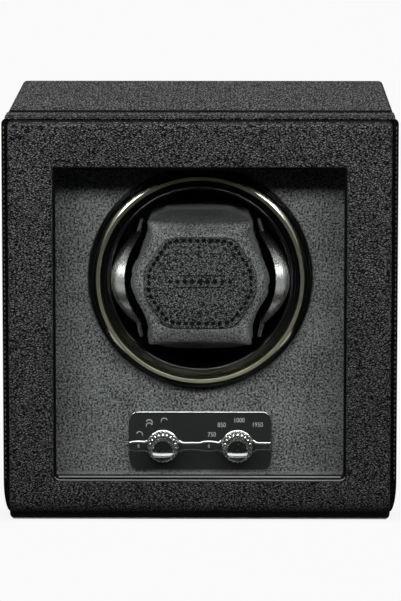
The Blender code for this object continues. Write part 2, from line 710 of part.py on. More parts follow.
def build_controls():
    """The gloss plate, the circuit board and, for each side, a rotary switch and its knob."""
    outline = rounded_rectangle(PLATE_HALF_WIDTH, PLATE_BOTTOM, PLATE_TOP, PLATE_CORNER)
    front = PLATE_BACK - PLATE_THICKNESS
    plate = lofted("control_plate", [(PLATE_BACK, outline), (front, outline)], "gloss_black")
    for side, label, switch in ((-1, "left", "direction_switch"), (1, "right", "turns_switch")):
        hole = SWITCH_NECK + GAP
        bore_y(plate, f"plate_{label}", hole, side * KNOB_X, KNOB_Z, front - MM, PLATE_BACK + MM)
        build_switch(switch, side * KNOB_X)
        build_knob(label, side * KNOB_X)

    low = (-CIRCUIT_HALF_WIDTH, CIRCUIT_FRONT, KNOB_Z - CIRCUIT_HALF_HEIGHT)
    high = (CIRCUIT_HALF_WIDTH, CIRCUIT_FRONT + CIRCUIT_THICKNESS, KNOB_Z + CIRCUIT_HALF_HEIGHT)
    board = block("control_board", low, high, "circuit_green")
    for number, (left, bottom, right, top, height) in enumerate(COMPONENTS, 1):
        low = (left * MM, CIRCUIT_FRONT + MM, KNOB_Z + bottom * MM)
        high = (right * MM, CIRCUIT_FRONT + CIRCUIT_THICKNESS + height * MM, KNOB_Z + top * MM)
        combine(board, block(f"join_component_{number}", low, high, "circuit_green"), "UNION")


def build_switch(name, x):
    """A rotary switch: a square body and a round neck, bored for the selector shaft."""
    low = (x - SWITCH_HALF, SWITCH_FRONT, KNOB_Z - SWITCH_HALF)
    high = (x + SWITCH_HALF, SWITCH_BACK, KNOB_Z + SWITCH_HALF)
    made = block(name, low, high, "black_plastic")
    neck_front = PLATE_BACK - PLATE_THICKNESS
    neck_back = SWITCH_FRONT + MM
    profile = [(0, neck_front), (SWITCH_NECK, neck_front), (SWITCH_NECK, neck_back), (0, neck_back)]
    neck = turned(f"join_neck_{name}", profile, "black_plastic", None, SMALL_STEPS, (x, 0.0, KNOB_Z))
    combine(made, neck, "UNION")
    bore_y(made, f"bore_{name}", SHAFT_RADIUS + GAP, x, KNOB_Z, neck_front - MM, SHAFT_BACK + GAP)


def build_knob(label, x):
    """A fluted knob with an inset cap, on its selector shaft."""
    axis = axis_empty(f"{label}_knob_axis", (x, 0.0, KNOB_Z))
    steps = FLUTE_STEPS * KNOB_FLUTES
    bore = circle(SHAFT_RADIUS + GAP, steps)
    recess = circle(CAP_RADIUS + GAP, steps)
    crown = circle(KNOB_RADIUS - 2 * KNOB_FLUTE, steps)
    fluted = []
    for index, (cosine, sine) in enumerate(circle(1.0, steps)):
        radius = KNOB_RADIUS - (KNOB_FLUTE if index % FLUTE_STEPS == 0 else 0)
        fluted.append((radius * cosine, radius * sine))
    sections = [
        (KNOB_BACK - KNOB_BORE_DEPTH, bore),
        (KNOB_BACK, bore),
        (KNOB_BACK, fluted),
        (KNOB_FRONT + 2 * KNOB_FLUTE, fluted),
        (KNOB_FRONT, crown),
        (KNOB_FRONT, recess),
        (CAP_BACK + GAP, recess),
    ]
    lofted(f"knob_{label}", sections, "chrome", axis)
    cap = [
        (0, CAP_BACK),
        (CAP_RADIUS, CAP_BACK),
        (CAP_RADIUS, CAP_FRONT + GAP),
        (CAP_RADIUS - GAP, CAP_FRONT),
        (0, CAP_FRONT),
    ]
    turned(f"knob_cap_{label}", cap, "gloss_black", axis, SMALL_STEPS)
    front = KNOB_BACK - KNOB_BORE_DEPTH + GAP
    shaft = [(0, front), (SHAFT_RADIUS, front), (SHAFT_RADIUS, SHAFT_BACK), (0, SHAFT_BACK)]
    turned(f"selector_shaft_{label}", shaft, "brass", axis, SMALL_STEPS)


def build_chassis():
    """The sheet chassis on four spacers behind the fascia, and the bush that carries the axle."""
    outline = rounded_rectangle(CHASSIS_HALF_WIDTH, CHASSIS_BOTTOM, CHASSIS_TOP, PLATE_CORNER)
    back = CHASSIS_FRONT + CHASSIS_THICKNESS
    plate = lofted("chassis_plate", [(CHASSIS_FRONT, outline), (back, outline)], "steel")
    bore_y(plate, "bush_hole", BUSH_RADIUS + GAP, 0, AXIS_Z, CHASSIS_FRONT - MM, back + MM)
    bore_y(plate, "motor_hole", 2 * MOTOR_SHAFT, 0, AXIS_Z - MOTOR_DROP, CHASSIS_FRONT - MM, back + MM)
    front, spacer_back = FASCIA_BACK + GAP, CHASSIS_FRONT - GAP
    profile = [(0, front), (SPACER_RADIUS, front), (SPACER_RADIUS, spacer_back), (0, spacer_back)]
    places = [(x, AXIS_Z + z) for z in (-SPACER_Z, SPACER_Z) for x in (-SPACER_X, SPACER_X)]
    for number, (x, z) in enumerate(places, 1):
        turned(f"chassis_spacer_{number}", profile, "brass", None, SMALL_STEPS // 2, (x, 0.0, z))

    bore = AXLE_RADIUS + GAP
    shoulder = CHASSIS_FRONT - GAP
    bush = [
        (bore, BUSH_FRONT),
        (BUSH_FLANGE_RADIUS, BUSH_FRONT),
        (BUSH_FLANGE_RADIUS, shoulder),
        (BUSH_RADIUS, shoulder),
        (BUSH_RADIUS, BUSH_BACK),
        (bore, BUSH_BACK),
    ]
    turned("axle_bush", bush, "brass", None, SMALL_STEPS, (0.0, 0.0, AXIS_Z))


def build_drive():
    """The geared motor, its shaft and pulley, and the belt round both pulleys."""
    motor_z = AXIS_Z - MOTOR_DROP
    front = CHASSIS_FRONT + CHASSIS_THICKNESS + GAP
    bore = MOTOR_SHAFT + GAP
    bore_back = front + MOTOR_BORE_DEPTH
    gearbox = [
        (bore, front),
        (GEARBOX_RADIUS, front),
        (GEARBOX_RADIUS, GEARBOX_BACK),
        (0, GEARBOX_BACK),
        (0, bore_back),
        (bore, bore_back),
    ]
    turned("gearbox", gearbox, "brass", None, SMALL_STEPS, (0.0, 0.0, motor_z))
    can_front = GEARBOX_BACK + GAP
    can = [
        (0, can_front),
        (MOTOR_RADIUS, can_front),
        (MOTOR_RADIUS, MOTOR_BACK - MOTOR_EDGE),
        (MOTOR_RADIUS - MOTOR_EDGE, MOTOR_BACK),
        (0, MOTOR_BACK),
    ]
    turned("motor", can, "steel", None, SMALL_STEPS, (0.0, 0.0, motor_z))

    axis = axis_empty("motor_axis", (0.0, 0.0, motor_z))
    pulley_front, pulley_back = BELT_FRONT - GAP - MM, BELT_BACK + GAP + MM
    pulley = pulley_profile(pulley_front, pulley_back, MOTOR_PULLEY_GROOVE, bore)
    turned("motor_pulley", pulley, "brass", axis, SMALL_STEPS)
    shaft_back = bore_back - GAP
    shaft = [(0, pulley_front), (MOTOR_SHAFT, pulley_front), (MOTOR_SHAFT, shaft_back), (0, shaft_back)]
    turned("motor_shaft", shaft, "steel", axis, SMALL_STEPS // 2)

    inner, outer = belt_outline(GAP), belt_outline(GAP + BELT_THICKNESS)
    sections = [(BELT_FRONT, inner), (BELT_FRONT, outer), (BELT_BACK, outer), (BELT_BACK, inner)]
    drum_axis = bpy.data.objects["drum_axis"]
    lofted("drive_belt", sections, "rubber", drum_axis, hollow=True)


def belt_outline(stand_off):
    """The loop round both pulleys at a distance from their grooves, about the drum's axis."""
    large, small = DRUM_PULLEY_GROOVE + stand_off, MOTOR_PULLEY_GROOVE + stand_off
    lean = math.asin((large - small) / MOTOR_DROP)
    points = []
    for step in range(ROUND_STEPS // 2 + 1):
        angle = -lean + (math.pi + 2 * lean) * step / (ROUND_STEPS // 2)
        points.append((large * math.cos(angle), large * math.sin(angle)))
    for step in range(SMALL_STEPS // 2 + 1):
        angle = math.pi + lean + (math.pi - 2 * lean) * step / (SMALL_STEPS // 2)
        points.append((small * math.cos(angle), small * math.sin(angle) - MOTOR_DROP))
    return points


def build_back():
    """The back cover with its vents and screws, and the power inlet."""
    low = (-WALL_X + GAP, COVER_FRONT, CASE_BOTTOM + LEATHER + 2 * GAP)
    high = (WALL_X - GAP, COVER_BACK, CASE_TOP - LEATHER - 2 * GAP)
    cover = block("back_cover", low, high, "black_plastic")
    bore_y(cover, "jack_hole", JACK_RADIUS + GAP, JACK_X, JACK_Z, COVER_FRONT - MM, COVER_BACK + MM)
    middle = AXIS_Z + SLOT_PITCH
    for number in range(SLOT_COUNT):
        z = middle + SLOT_PITCH * (number - SLOT_COUNT // 2)
        slot_low = (-SLOT_HALF_LENGTH, COVER_FRONT - MM, z - MM)
        pocket(cover, f"vent_{number + 1}", slot_low, (SLOT_HALF_LENGTH, COVER_BACK + MM, z + MM))

    head_front = COVER_BACK + GAP
    head_back = head_front + SCREW_HEAD
    tip = BOARDS_BACK - SCREW_LENGTH + GAP
    screw = [
        (0, tip),
        (SCREW_RADIUS, tip + MM),
        (SCREW_RADIUS, head_front),
        (SCREW_HEAD_RADIUS, head_front),
        (SCREW_HEAD_RADIUS - GAP, head_back),
        (0, head_back),
    ]
    places = [(x, z) for z in (SCREW_LOW, SCREW_HIGH) for x in (-SCREW_X, SCREW_X)]
    for number, (x, z) in enumerate(places, 1):
        turned(f"back_screw_{number}", screw, "steel", None, SMALL_STEPS // 2, (x, 0.0, z))
        bore_y(cover, f"cover_{number}", SCREW_RADIUS + GAP, x, z, COVER_FRONT - MM, COVER_BACK + MM)
    build_jack(head_front)


def build_jack(flange_front):
    """The power inlet: a flanged barrel with a contact pin, and the nut inside the cover."""
    flange_back = flange_front + JACK_FLANGE_THICKNESS
    rear = flange_front - JACK_LENGTH
    bore_end = flange_back - JACK_BORE_DEPTH
    barrel_profile = [
        (0, rear),
        (JACK_RADIUS, rear),
        (JACK_RADIUS, flange_front),
        (JACK_FLANGE, flange_front),
        (JACK_FLANGE, flange_back),
        (JACK_BORE, flange_back),
        (JACK_BORE, bore_end),
        (JACK_PIN, bore_end),
        (JACK_PIN, flange_front),
        (0, flange_front),
    ]
    turned("dc_jack", barrel_profile, "black_plastic", None, SMALL_STEPS, (JACK_X, 0.0, JACK_Z))
    inner, outer = JACK_RADIUS + MM, JACK_FLANGE + MM
    nut_back = COVER_FRONT - GAP
    nut_front = nut_back - NUT_THICKNESS
    nut = [(inner, nut_front), (outer, nut_front), (outer, nut_back), (inner, nut_back)]
    turned("jack_nut", nut, "steel", None, 6, (JACK_X, 0.0, JACK_Z))


def smooth_route(points, per_span):
    """Points along a smooth curve through the route's own points."""
    ends = [2 * points[0] - points[1], *points, 2 * points[-1] - points[-2]]
    route = []
    for before, start, end, after in zip(ends, ends[1:], ends[2:], ends[3:]):
        for step in range(per_span):
            t = step / per_span
            bend = 2 * before - 5 * start + 4 * end - after
            twist = 3 * start - before - 3 * end + after
            route.append((2 * start + (end - before) * t + bend * t**2 + twist * t**3) / 2)
    return [*route, points[-1]]


def build_lead(name, stops):
    """An inside lead: a tube along its route, given in millimetres."""
    curve = bpy.data.curves.new(name, "CURVE")
    curve.dimensions = "3D"
    curve.bevel_depth = LEAD_RADIUS
    curve.bevel_resolution = 2
    curve.use_fill_caps = True
    route = smooth_route([Vector(stop) * MM for stop in stops], per_span=5)
    spline = curve.splines.new("POLY")
    spline.points.add(len(route) - 1)
    for point, place in zip(spline.points, route):
        point.co = (*place, 1.0)
    curve.materials.append(finish("rubber"))
    bpy.context.scene.collection.objects.link(bpy.data.objects.new(name, curve))


def build_leads():
    """The lead from the inlet and the lead to the motor. Both run along the floor to the board."""
    floor = LEAD_FLOOR / MM
    jack_rear = (COVER_BACK + 2 * GAP - JACK_LENGTH) / MM - 1
    board_back = (CIRCUIT_FRONT + CIRCUIT_THICKNESS) / MM + 1
    power_route = [
        (35, jack_rear, 24),
        (35, 52, 21),
        (33, 36, floor),
        (28, 10, floor),
        (23, -18, floor + 1),
        (21, board_back, 20),
    ]
    build_lead("power_lead", power_route)
    motor_rear = MOTOR_BACK / MM + 1
    motor_route = [
        (0, motor_rear, 36),
        (-4, 46, 29),
        (-13, 40, floor),
        (-19, 18, floor),
        (-20, -16, floor + 1),
        (-21, board_back, 22),
    ]
    build_lead("motor_lead", motor_route)


def main():
    clear_scene()
    build_boards()
    build_case_leather()
    build_feet()
    build_recess()
    build_lid()
    drum_axis = build_drum()
    build_cushion(drum_axis)
    build_bow("left", -1, drum_axis)
    build_bow("right", 1, drum_axis)
    build_controls()
    build_chassis()
    build_drive()
    build_back()
    build_leads()


main()
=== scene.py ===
"""The looks of a single watch winder box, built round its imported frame: pebbled leather, suede, a
gunmetal drum, chrome knobs and a glass window, in a plain white studio.

Metres, +Z up, front towards -Y.
"""

import json
import math

import bmesh
import bpy
from mathutils import Matrix, Vector
from mathutils.bvhtree import BVHTree


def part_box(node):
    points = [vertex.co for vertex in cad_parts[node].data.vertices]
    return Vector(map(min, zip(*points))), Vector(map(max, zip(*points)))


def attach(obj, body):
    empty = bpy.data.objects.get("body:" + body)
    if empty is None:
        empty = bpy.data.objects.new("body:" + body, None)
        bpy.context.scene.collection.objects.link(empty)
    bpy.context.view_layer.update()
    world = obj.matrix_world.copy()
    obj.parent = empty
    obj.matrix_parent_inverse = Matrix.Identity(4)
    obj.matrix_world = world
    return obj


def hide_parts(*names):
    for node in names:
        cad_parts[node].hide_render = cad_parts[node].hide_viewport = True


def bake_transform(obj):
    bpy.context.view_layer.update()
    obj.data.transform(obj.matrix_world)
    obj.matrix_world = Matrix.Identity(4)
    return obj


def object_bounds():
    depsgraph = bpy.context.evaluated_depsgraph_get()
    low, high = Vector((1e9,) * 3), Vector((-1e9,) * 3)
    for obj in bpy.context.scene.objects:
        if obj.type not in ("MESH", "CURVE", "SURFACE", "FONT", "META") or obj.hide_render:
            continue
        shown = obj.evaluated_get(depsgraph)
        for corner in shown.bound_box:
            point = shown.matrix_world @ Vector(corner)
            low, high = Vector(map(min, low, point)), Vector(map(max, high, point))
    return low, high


MM = 0.001
TINY = 1e-6
GAP = 0.3 * MM  # the clearance that the frame keeps between pieces that touch
ROUND = 160  # segments round the drum's pieces
CORNER_STEPS = 8

# Case and lid.
LEATHER = 1.0 * MM
CASE_EDGE = 2.0 * MM
MOUTH_EDGE = 0.7 * MM
SEAM_ROLL = 0.9 * MM  # how far the top leather rolls down towards the hinge's seam
HINGE_SINK = 0.45 * MM
BOARD_EDGE = 1.0 * MM
BOARD_CORNERS = (2.0 * MM, 2.6 * MM)  # upper and lower
BOARD_TAPER = 12.0 * MM  # height below which the board's sides curve gently in
BOARD_RISE = 0.5 * MM  # how much higher than the stiffener the board's leather ends
PAINTED_SHADE_TOP = 160 * MM  # the height where the frame's leather is palest: below it, painted shade darkens it towards the bottom
PAINTED_HIGHLIGHT_EDGE = (153.5 * MM, 154.6 * MM)  # the heights between which the frame's top edge is lightened by a painted highlight
FRAME_RADII = {"side": 0.8 * MM, "top": 1.3 * MM, "bottom": 6.2 * MM}
FRAME_CORNER = 1.8 * MM
FRAME_DROP = 0.75 * MM  # how far the padding hangs below its node
WINDOW_EDGE = 0.9 * MM
BEAD_DEPTH = 1.0 * MM  # how far behind the frame's front the bead round the pane starts
REBATE = 4.0 * MM
FLOOR_RISE = 1.0 * MM  # how much thicker than its sides the recess lining's floor is
FRAME_LIP = 5.4 * MM

# Cushion: the simulation runs on a copy this many times larger, where cloth settings are usual ones.
SIM_SCALE = 10.0
SIM_VOXEL = 0.011
SIM_PRESSURE = 4.0
SIM_FRAMES = 20
SIM_CAP = 0.010
CUSHION_PLUMP = 1.9 * MM  # how much taller than its nodes the suede starts, since filling draws its ends in
CUSHION_FLARE = 18.0 * MM  # how far above and below its middle the cushion starts to widen
CORE_WAIST, PAD_WAIST = 0.805, 0.735  # how wide the cushion's ends are, as shares of its middle
PEG_Y, PEG_RADIUS, PEG_HEIGHT = -32 * MM, 1.2 * MM, 14 * MM  # the bows' pegs, above and below the middle
SOCKET_START = 17.5 * MM  # how far from the middle the pegs' sockets start
PATCH_THICKNESS = 1.0 * MM
RIM_FLANGE = 0.8 * MM  # how much wider the rim is at its front than along its barrel
BOW_TIP = 18.2 * MM  # half the height of a bow's face, without its tabs
BOW_APEX = 5.4 * MM  # how far below its middle a bow's face stands out most
BOW_CURL = 34 * MM  # the radius that a bow's face curls back on

# Controls.
BAND_DROP = 0.1 * MM  # how far the inlaid band's middle lies below the knobs' axis
BAND_HALF = 1.3 * MM
BAND_RADIUS = 6.1 * MM
FLUTES = 20
GROOVE = 0.7 * MM  # how far the knobs' flutes cut back from their shoulders
SHADOW_INSET = Vector((6.0, 11.5, 0)) * MM  # how far inside the outline the contact shadow ends
KNOB_FACE = 4.1 * MM  # the radius of the knobs' domed faces

scene = bpy.context.scene
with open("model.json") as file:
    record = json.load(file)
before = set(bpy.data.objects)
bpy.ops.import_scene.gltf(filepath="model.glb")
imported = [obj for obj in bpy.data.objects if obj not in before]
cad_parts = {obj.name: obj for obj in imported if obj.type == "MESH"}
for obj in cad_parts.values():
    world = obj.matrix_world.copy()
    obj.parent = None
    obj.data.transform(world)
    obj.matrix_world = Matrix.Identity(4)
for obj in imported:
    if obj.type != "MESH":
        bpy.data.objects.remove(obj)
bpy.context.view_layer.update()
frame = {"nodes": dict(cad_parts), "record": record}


def box_with_centre(name):
    """A CAD node's low corner, high corner and centre."""
    low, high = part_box(name)
    return low, high, (low + high) / 2


# The camera, from the solve of the photo: degrees down and to the left, metres, and mm of lens
CAMERA_PLACE, CAMERA_PITCH, CAMERA_TURN = (0.0134, -1.658, 0.3248), 8.55, 0.474
CAMERA_LENS = 249.85


# Mesh helpers


def shaded(name, bm, angle=35):
    """An object from a bmesh, smooth except at its sharp edges."""
    bmesh.ops.remove_doubles(bm, verts=bm.verts, dist=1e-7)
    bmesh.ops.recalc_face_normals(bm, faces=bm.faces)
    mesh = bpy.data.meshes.new(name)
    bm.to_mesh(mesh)
    bm.free()
    mesh.shade_smooth()
    mesh.set_sharp_from_angle(angle=math.radians(angle))
    made = bpy.data.objects.new(name, mesh)
    scene.collection.objects.link(made)
    return made


def add_rings(bm, rings, wrap=False):
    """Faces through rings of points. A ring may be a single point; wrap joins the last to the first."""
    made = [[bm.verts.new(point) for point in ring] for ring in rings]
    pairs = list(zip(made, made[1:])) + ([(made[-1], made[0])] if wrap else [])
    for ring, following in pairs:
        count = max(len(ring), len(following))
        for here in range(count):
            there = (here + 1) % count
            corners = [ring[i % len(ring)] for i in (here, there)]
            corners += [following[i % len(following)] for i in (there, here)]
            corners = list(dict.fromkeys(corners))
            if len(corners) > 2:
                bm.faces.new(corners)
    if not wrap:
        for ring in (made[0], made[-1]):
            if len(ring) > 2:
                bm.faces.new(ring)


def skinned(name, rings, wrap=False, angle=35):
    bm = bmesh.new()
    add_rings(bm, rings, wrap)
    return shaded(name, bm, angle)


def lofted(name, sections, wrap=False, angle=35):
    """A solid through (y, outline) sections, whose outlines are (x, z) points."""
    return skinned(name, [[(x, y, z) for x, z in shape] for y, shape in sections], wrap, angle=angle)


def circle(steps):
    """(cosine, sine) pairs round a full turn."""
    return [(math.cos(2 * math.pi * i / steps), math.sin(2 * math.pi * i / steps)) for i in range(steps)]


def near(across, up, *offsets):
    """Points at offsets from a place, with the offsets in millimetres."""
    return [(across + a * MM, up + b * MM) for a, b in offsets]


def turned(name, profile, centre, steps=ROUND, angle=35):
    """A solid of revolution about the line along Y through centre, from (radius, y) points."""
    rings = []
    for radius, y in profile:
        around = circle(steps) if radius > 0 else [(1.0, 0.0)]
        rings.append([(centre.x + radius * c, y, centre.z + radius * s) for c, s in around])
    return skinned(name, rings, wrap=True, angle=angle)


def plug(name, centre, radius, front, back):
    """A cylinder along Y, to cut a round hole with."""
    return turned(name, [(0, front), (radius, front), (radius, back), (0, back)], centre, 48)


def quarter(radius, steps=6):
    """(inset, depth) pairs along a rounded edge, from the front face to the side."""
    turns = [math.pi / 2 * i / steps for i in range(steps + 1)]
    return [(radius * (1 - math.sin(t)), radius * (1 - math.cos(t))) for t in turns]


def arc(centre_r, centre_y, radius, start, end, steps=6):
    """(r, y) points of an arc in a turned section; 0 degrees points outwards and 90 to the front."""
    turns = [math.radians(start + (end - start) * i / steps) for i in range(steps + 1)]
    return [(centre_r + radius * math.cos(t), centre_y - radius * math.sin(t)) for t in turns]


def outline(half_width, low, high, upper, lower=None):
    """(x, z) points round a rectangle with rounded corners, anticlockwise from the upper right."""
    lower = upper if lower is None else lower
    points = []
    tops = ((1, high, upper, 0), (-1, high, upper, 90))
    for side, end, radius, start in (*tops, (-1, low, lower, 180), (1, low, lower, 270)):
        centre_z = end - radius if start < 180 else end + radius
        for step in range(CORNER_STEPS + 1):
            turn = math.radians(start + 90 * step / CORNER_STEPS)
            x = side * (half_width - radius) + radius * math.cos(turn)
            points.append((x, centre_z + radius * math.sin(turn)))
    return points


def block(name, low, high):
    bm = bmesh.new()
    size = Vector(high) - Vector(low)
    middle = Matrix.Translation((Vector(high) + Vector(low)) / 2)
    bmesh.ops.create_cube(bm, size=1.0, matrix=middle @ Matrix.Diagonal((*size, 1.0)))
    return shaded(name, bm)


def rod(name, start, end, radius):
    """A round bar between two points."""
    bm = bmesh.new()
    start, end = Vector(start), Vector(end)
    turn = (end - start).to_track_quat("Z", "Y").to_matrix().to_4x4()
    size = {"radius1": radius, "radius2": radius, "depth": (end - start).length}
    place = Matrix.Translation((start + end) / 2) @ turn
    bmesh.ops.create_cone(bm, cap_ends=True, segments=20, matrix=place, **size)
    return shaded(name, bm)


def cut(target, *cutters):
    """Cuts the cutters out of the target for good, and removes them."""
    for cutter in cutters:
        target.modifiers.new("cut", "BOOLEAN").object = cutter
    apply_modifiers(target)
    for cutter in cutters:
        bpy.data.objects.remove(cutter)
    target.data.shade_smooth()
    target.data.set_sharp_from_angle(angle=math.radians(35))


def apply_modifiers(target):
    graph = bpy.context.evaluated_depsgraph_get()
    mesh = bpy.data.meshes.new_from_object(target.evaluated_get(graph))
    target.modifiers.clear()
    target.data = mesh


def soften(node, width, segments=2):
    """A small bevel on the sharp edges of a hard CAD piece."""
    bevel = frame["nodes"][node].modifiers.new("edge", "BEVEL")
    bevel.width = width
    bevel.segments = segments
    bevel.limit_method = "ANGLE"
    bevel.angle_limit = math.radians(50)


def dress(piece, look, body, slot, *nodes):
    """Gives a new piece its material and body, and hides the CAD nodes that it stands for. The record slot is not
    used.
    """
    piece.data.materials.clear()
    piece.data.materials.append(LOOKS[look])
    if nodes:
        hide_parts(*nodes)
    if body:
        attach(piece, body)


def stitches(name, path, normal, length, pitch, radius, closed=False):
    """Thread stitches along a path of points, each a short arch whose ends go into the leather."""
    ends = path + path[:1] if closed else path
    runs = [(Vector(a), Vector(b)) for a, b in zip(ends, ends[1:])]
    total = sum((b - a).length for a, b in runs)
    count = round(total / pitch)
    bm = bmesh.new()
    up = Vector(normal)
    for number in range(count):
        middle, along = point_along(runs, (number + 0.5) * total / count)
        across = along.cross(up).normalized()
        rings = []
        for step in range(7):
            t = step / 3 - 1
            lift = radius * (0.5 - 1.6 * t**4)
            size = radius * (1 - 0.35 * t**4)
            centre = middle + along * (t * length / 2) + up * lift
            rings.append([centre + across * (size * c) + up * (size * s) for c, s in circle(8)])
        add_rings(bm, rings)
    return shaded(name, bm, 60)


def point_along(runs, distance):
    """The point and direction at a distance along a chain of runs."""
    for start, end in runs:
        length = (end - start).length
        if distance <= length:
            break
        distance -= length
    along = (end - start).normalized()
    return start + along * min(distance, length), along


# Materials


def node(tree, kind, inputs=None, **settings):
    """A shader node with its inputs set or linked."""
    made = tree.nodes.new(kind)
    for key, value in settings.items():
        setattr(made, key, value)
    for key, value in (inputs or {}).items():
        if isinstance(value, bpy.types.NodeSocket):
            tree.links.new(value, made.inputs[key])
        else:
            made.inputs[key].default_value = value
    return made


def start_material(name, **fixed):
    """A new material's tree, its Principled shader and the piece's own coordinates in metres."""
    material = bpy.data.materials.new(name)
    material.use_nodes = True
    tree = material.node_tree
    shader = tree.nodes["Principled BSDF"]
    for socket, value in fixed.items():
        shader.inputs[socket.replace("_", " ")].default_value = value
    place = node(tree, "ShaderNodeTexCoord").outputs["Object"]
    return material, tree, shader, place


def noise(tree, place, scale, detail=2.0, roughness=0.5, output="Fac"):
    inputs = {"Vector": place, "Scale": scale, "Detail": detail, "Roughness": roughness}
    return node(tree, "ShaderNodeTexNoise", inputs).outputs[output]


def remap(tree, value, low, high, to_low=0.0, to_high=1.0):
    inputs = {"Value": value, "From Min": low, "From Max": high, "To Min": to_low, "To Max": to_high}
    return node(tree, "ShaderNodeMapRange", inputs).outputs["Result"]


def maths(tree, operation, first, second=0.0):
    return node(tree, "ShaderNodeMath", {0: first, 1: second}, operation=operation).outputs[0]


def product(tree, first, *others):
    for other in others:
        first = maths(tree, "MULTIPLY", first, other)
    return first


def blend(tree, *parts):
    """The sum of (value, weight) parts."""
    total, *others = [maths(tree, "MULTIPLY", value, weight) for value, weight in parts]
    for other in others:
        total = maths(tree, "ADD", total, other)
    return total


def vectors(tree, operation, first, second=(0.0, 0.0, 0.0), output=0):
    inputs = {0: first, 1: second}
    return node(tree, "ShaderNodeVectorMath", inputs, operation=operation).outputs[output]


def coordinate(tree, kind, axis):
    """One axis of a piece's own texture coordinates of the given kind."""
    place = node(tree, "ShaderNodeTexCoord").outputs[kind]
    return node(tree, "ShaderNodeSeparateXYZ", {0: place}).outputs[axis]


def tint(tree, factor, dark, light):
    """A colour between two others."""
    inputs = {"Factor": factor, "A": (*dark, 1.0), "B": (*light, 1.0)}
    return node(tree, "ShaderNodeMix", inputs, data_type="RGBA").outputs["Result"]


def finish_material(material, shader, colour, roughness, height, depth):
    """Links the colour, the roughness and the relief of the given depth."""
    tree = material.node_tree
    bump = node(tree, "ShaderNodeBump", {"Height": height, "Distance": depth, "Strength": 1.0})
    tree.links.new(colour, shader.inputs["Base Color"])
    tree.links.new(roughness, shader.inputs["Roughness"])
    tree.links.new(bump.outputs["Normal"], shader.inputs["Normal"])
    return material


def shifted(tree, place, scale, amount):
    """Coordinates pushed about by noise, so that a pattern isn't regular."""
    colours = noise(tree, place, scale, 1.0, output="Color")
    middle = vectors(tree, "SUBTRACT", colours, (0.5, 0.5, 0.5))
    small = node(tree, "ShaderNodeVectorMath", {0: middle, "Scale": amount}, operation="SCALE")
    return vectors(tree, "ADD", place, small.outputs[0])


def leather(name, grain, dark, light, depth, roughness, specular=0.12, dyed=None):
    """Pebble-grain leather: short slanted wrinkles between dark pits, with fine pores.

    Given heights for the frame's lower rounding, painted shade takes the colour down to black below them.
    The leather is also painted darker towards the bottom, and a painted highlight lightens its top edge.
    """
    material, tree, shader, place = start_material(name, Specular_IOR_Level=specular)
    upward = maths(tree, "ABSOLUTE", coordinate(tree, "Normal", "Z"))
    drawn_out = remap(tree, upward, 0.5, 0.9, 1.4, 0.3)
    scale = node(tree, "ShaderNodeCombineXYZ", {0: 0.9, 1: drawn_out, 2: 1.7}).outputs[0]
    slanted = {"Vector": place, "Rotation": (0.0, 0.55, 0.0), "Scale": scale}
    drawn = node(tree, "ShaderNodeMapping", slanted).outputs[0]
    wrinkles = noise(tree, shifted(tree, drawn, 0.4 / grain, 0.5 * grain), 1.05 / grain)
    inputs = {"Vector": drawn, "Scale": 0.85 / grain}
    cells = node(tree, "ShaderNodeTexVoronoi", inputs, feature="DISTANCE_TO_EDGE")
    creases = remap(tree, cells.outputs["Distance"], 0.02, 0.30)
    pores = noise(tree, place, 4.5 / grain)
    height = blend(tree, (remap(tree, wrinkles, 0.36, 0.64), 0.36), (creases, 0.58), (pores, 0.06))
    patches = remap(tree, noise(tree, place, 22.0), 0.3, 0.7, 0.85, 1.1)
    grain_tone_and_painted_light = product(tree, remap(tree, height, 0.34, 0.84), patches)
    # Painted light on the frame: painted shade below the given heights and towards the bottom, and a painted
    # highlight along the top edge.
    if dyed:
        level = node(tree, "ShaderNodeSeparateXYZ", {0: place}).outputs["Z"]
        painted_falloff = remap(tree, level, 0.0, PAINTED_SHADE_TOP, 0.62, 1.02)
        edge_painted_highlight = remap(tree, level, *PAINTED_HIGHLIGHT_EDGE, 1.0, 2.0)
        grain_tone_and_painted_light = product(tree, grain_tone_and_painted_light, remap(tree, level, *dyed), painted_falloff, edge_painted_highlight)
    rough = remap(tree, height, 0.4, 0.85, min(roughness + 0.35, 1.0), roughness)
    return finish_material(material, shader, tint(tree, grain_tone_and_painted_light, dark, light), rough, height, depth)


def suede(name, dark, light, grain=0.8 * MM, top=1.0, ends=1.0):
    """Short-napped suede. Where it faces up its colour is scaled by `top`, a painted highlight above 1 and painted
    shade below 1; towards a piece's top and bottom ends it is scaled by `ends`, painted shade.
    """
    sheen = {"Sheen_Weight": 0.10, "Sheen_Roughness": 0.5}
    material, tree, shader, place = start_material(name, Specular_IOR_Level=0.1, **sheen)
    fibres = noise(tree, shifted(tree, place, 0.4 / grain, grain), 1.1 / grain, 2.0, 0.6)
    nap = noise(tree, place, 0.05 / grain, 3.0)
    mottle = remap(tree, blend(tree, (fibres, 0.85), (nap, 0.15)), 0.40, 0.60)
    # Painted light: the colour is scaled where the suede faces up and towards the piece's ends.
    facing_up_painted_light = remap(tree, coordinate(tree, "Normal", "Z"), 0.15, 0.75, 1.0, top)
    height = coordinate(tree, "Generated", "Z")
    bottom, summit = remap(tree, height, 0.0, 0.20, ends, 1.0), remap(tree, height, 0.90, 1.0, 1.0, ends)
    colour = tint(tree, product(tree, mottle, facing_up_painted_light, product(tree, bottom, summit)), dark, light)
    rough = remap(tree, fibres, 0.3, 0.7, 1.0, 0.85)
    return finish_material(material, shader, colour, rough, fibres, 0.25 * MM)


def metal(name, dark, light, roughness, grain=(900.0, 900.0, 900.0), depth=0.002 * MM, spread=0.06):
    """Plated or brushed metal. Unequal grain scales draw brush marks out along the smallest one."""
    material, tree, shader, place = start_material(name, Metallic=1.0)
    marks = noise(tree, vectors(tree, "MULTIPLY", place, grain), 1.0, 3.0, 0.6)
    colour = tint(tree, remap(tree, noise(tree, place, 60.0), 0.3, 0.7), dark, light)
    rough = remap(tree, marks, 0.3, 0.7, roughness, roughness + spread)
    return finish_material(material, shader, colour, rough, marks, depth)


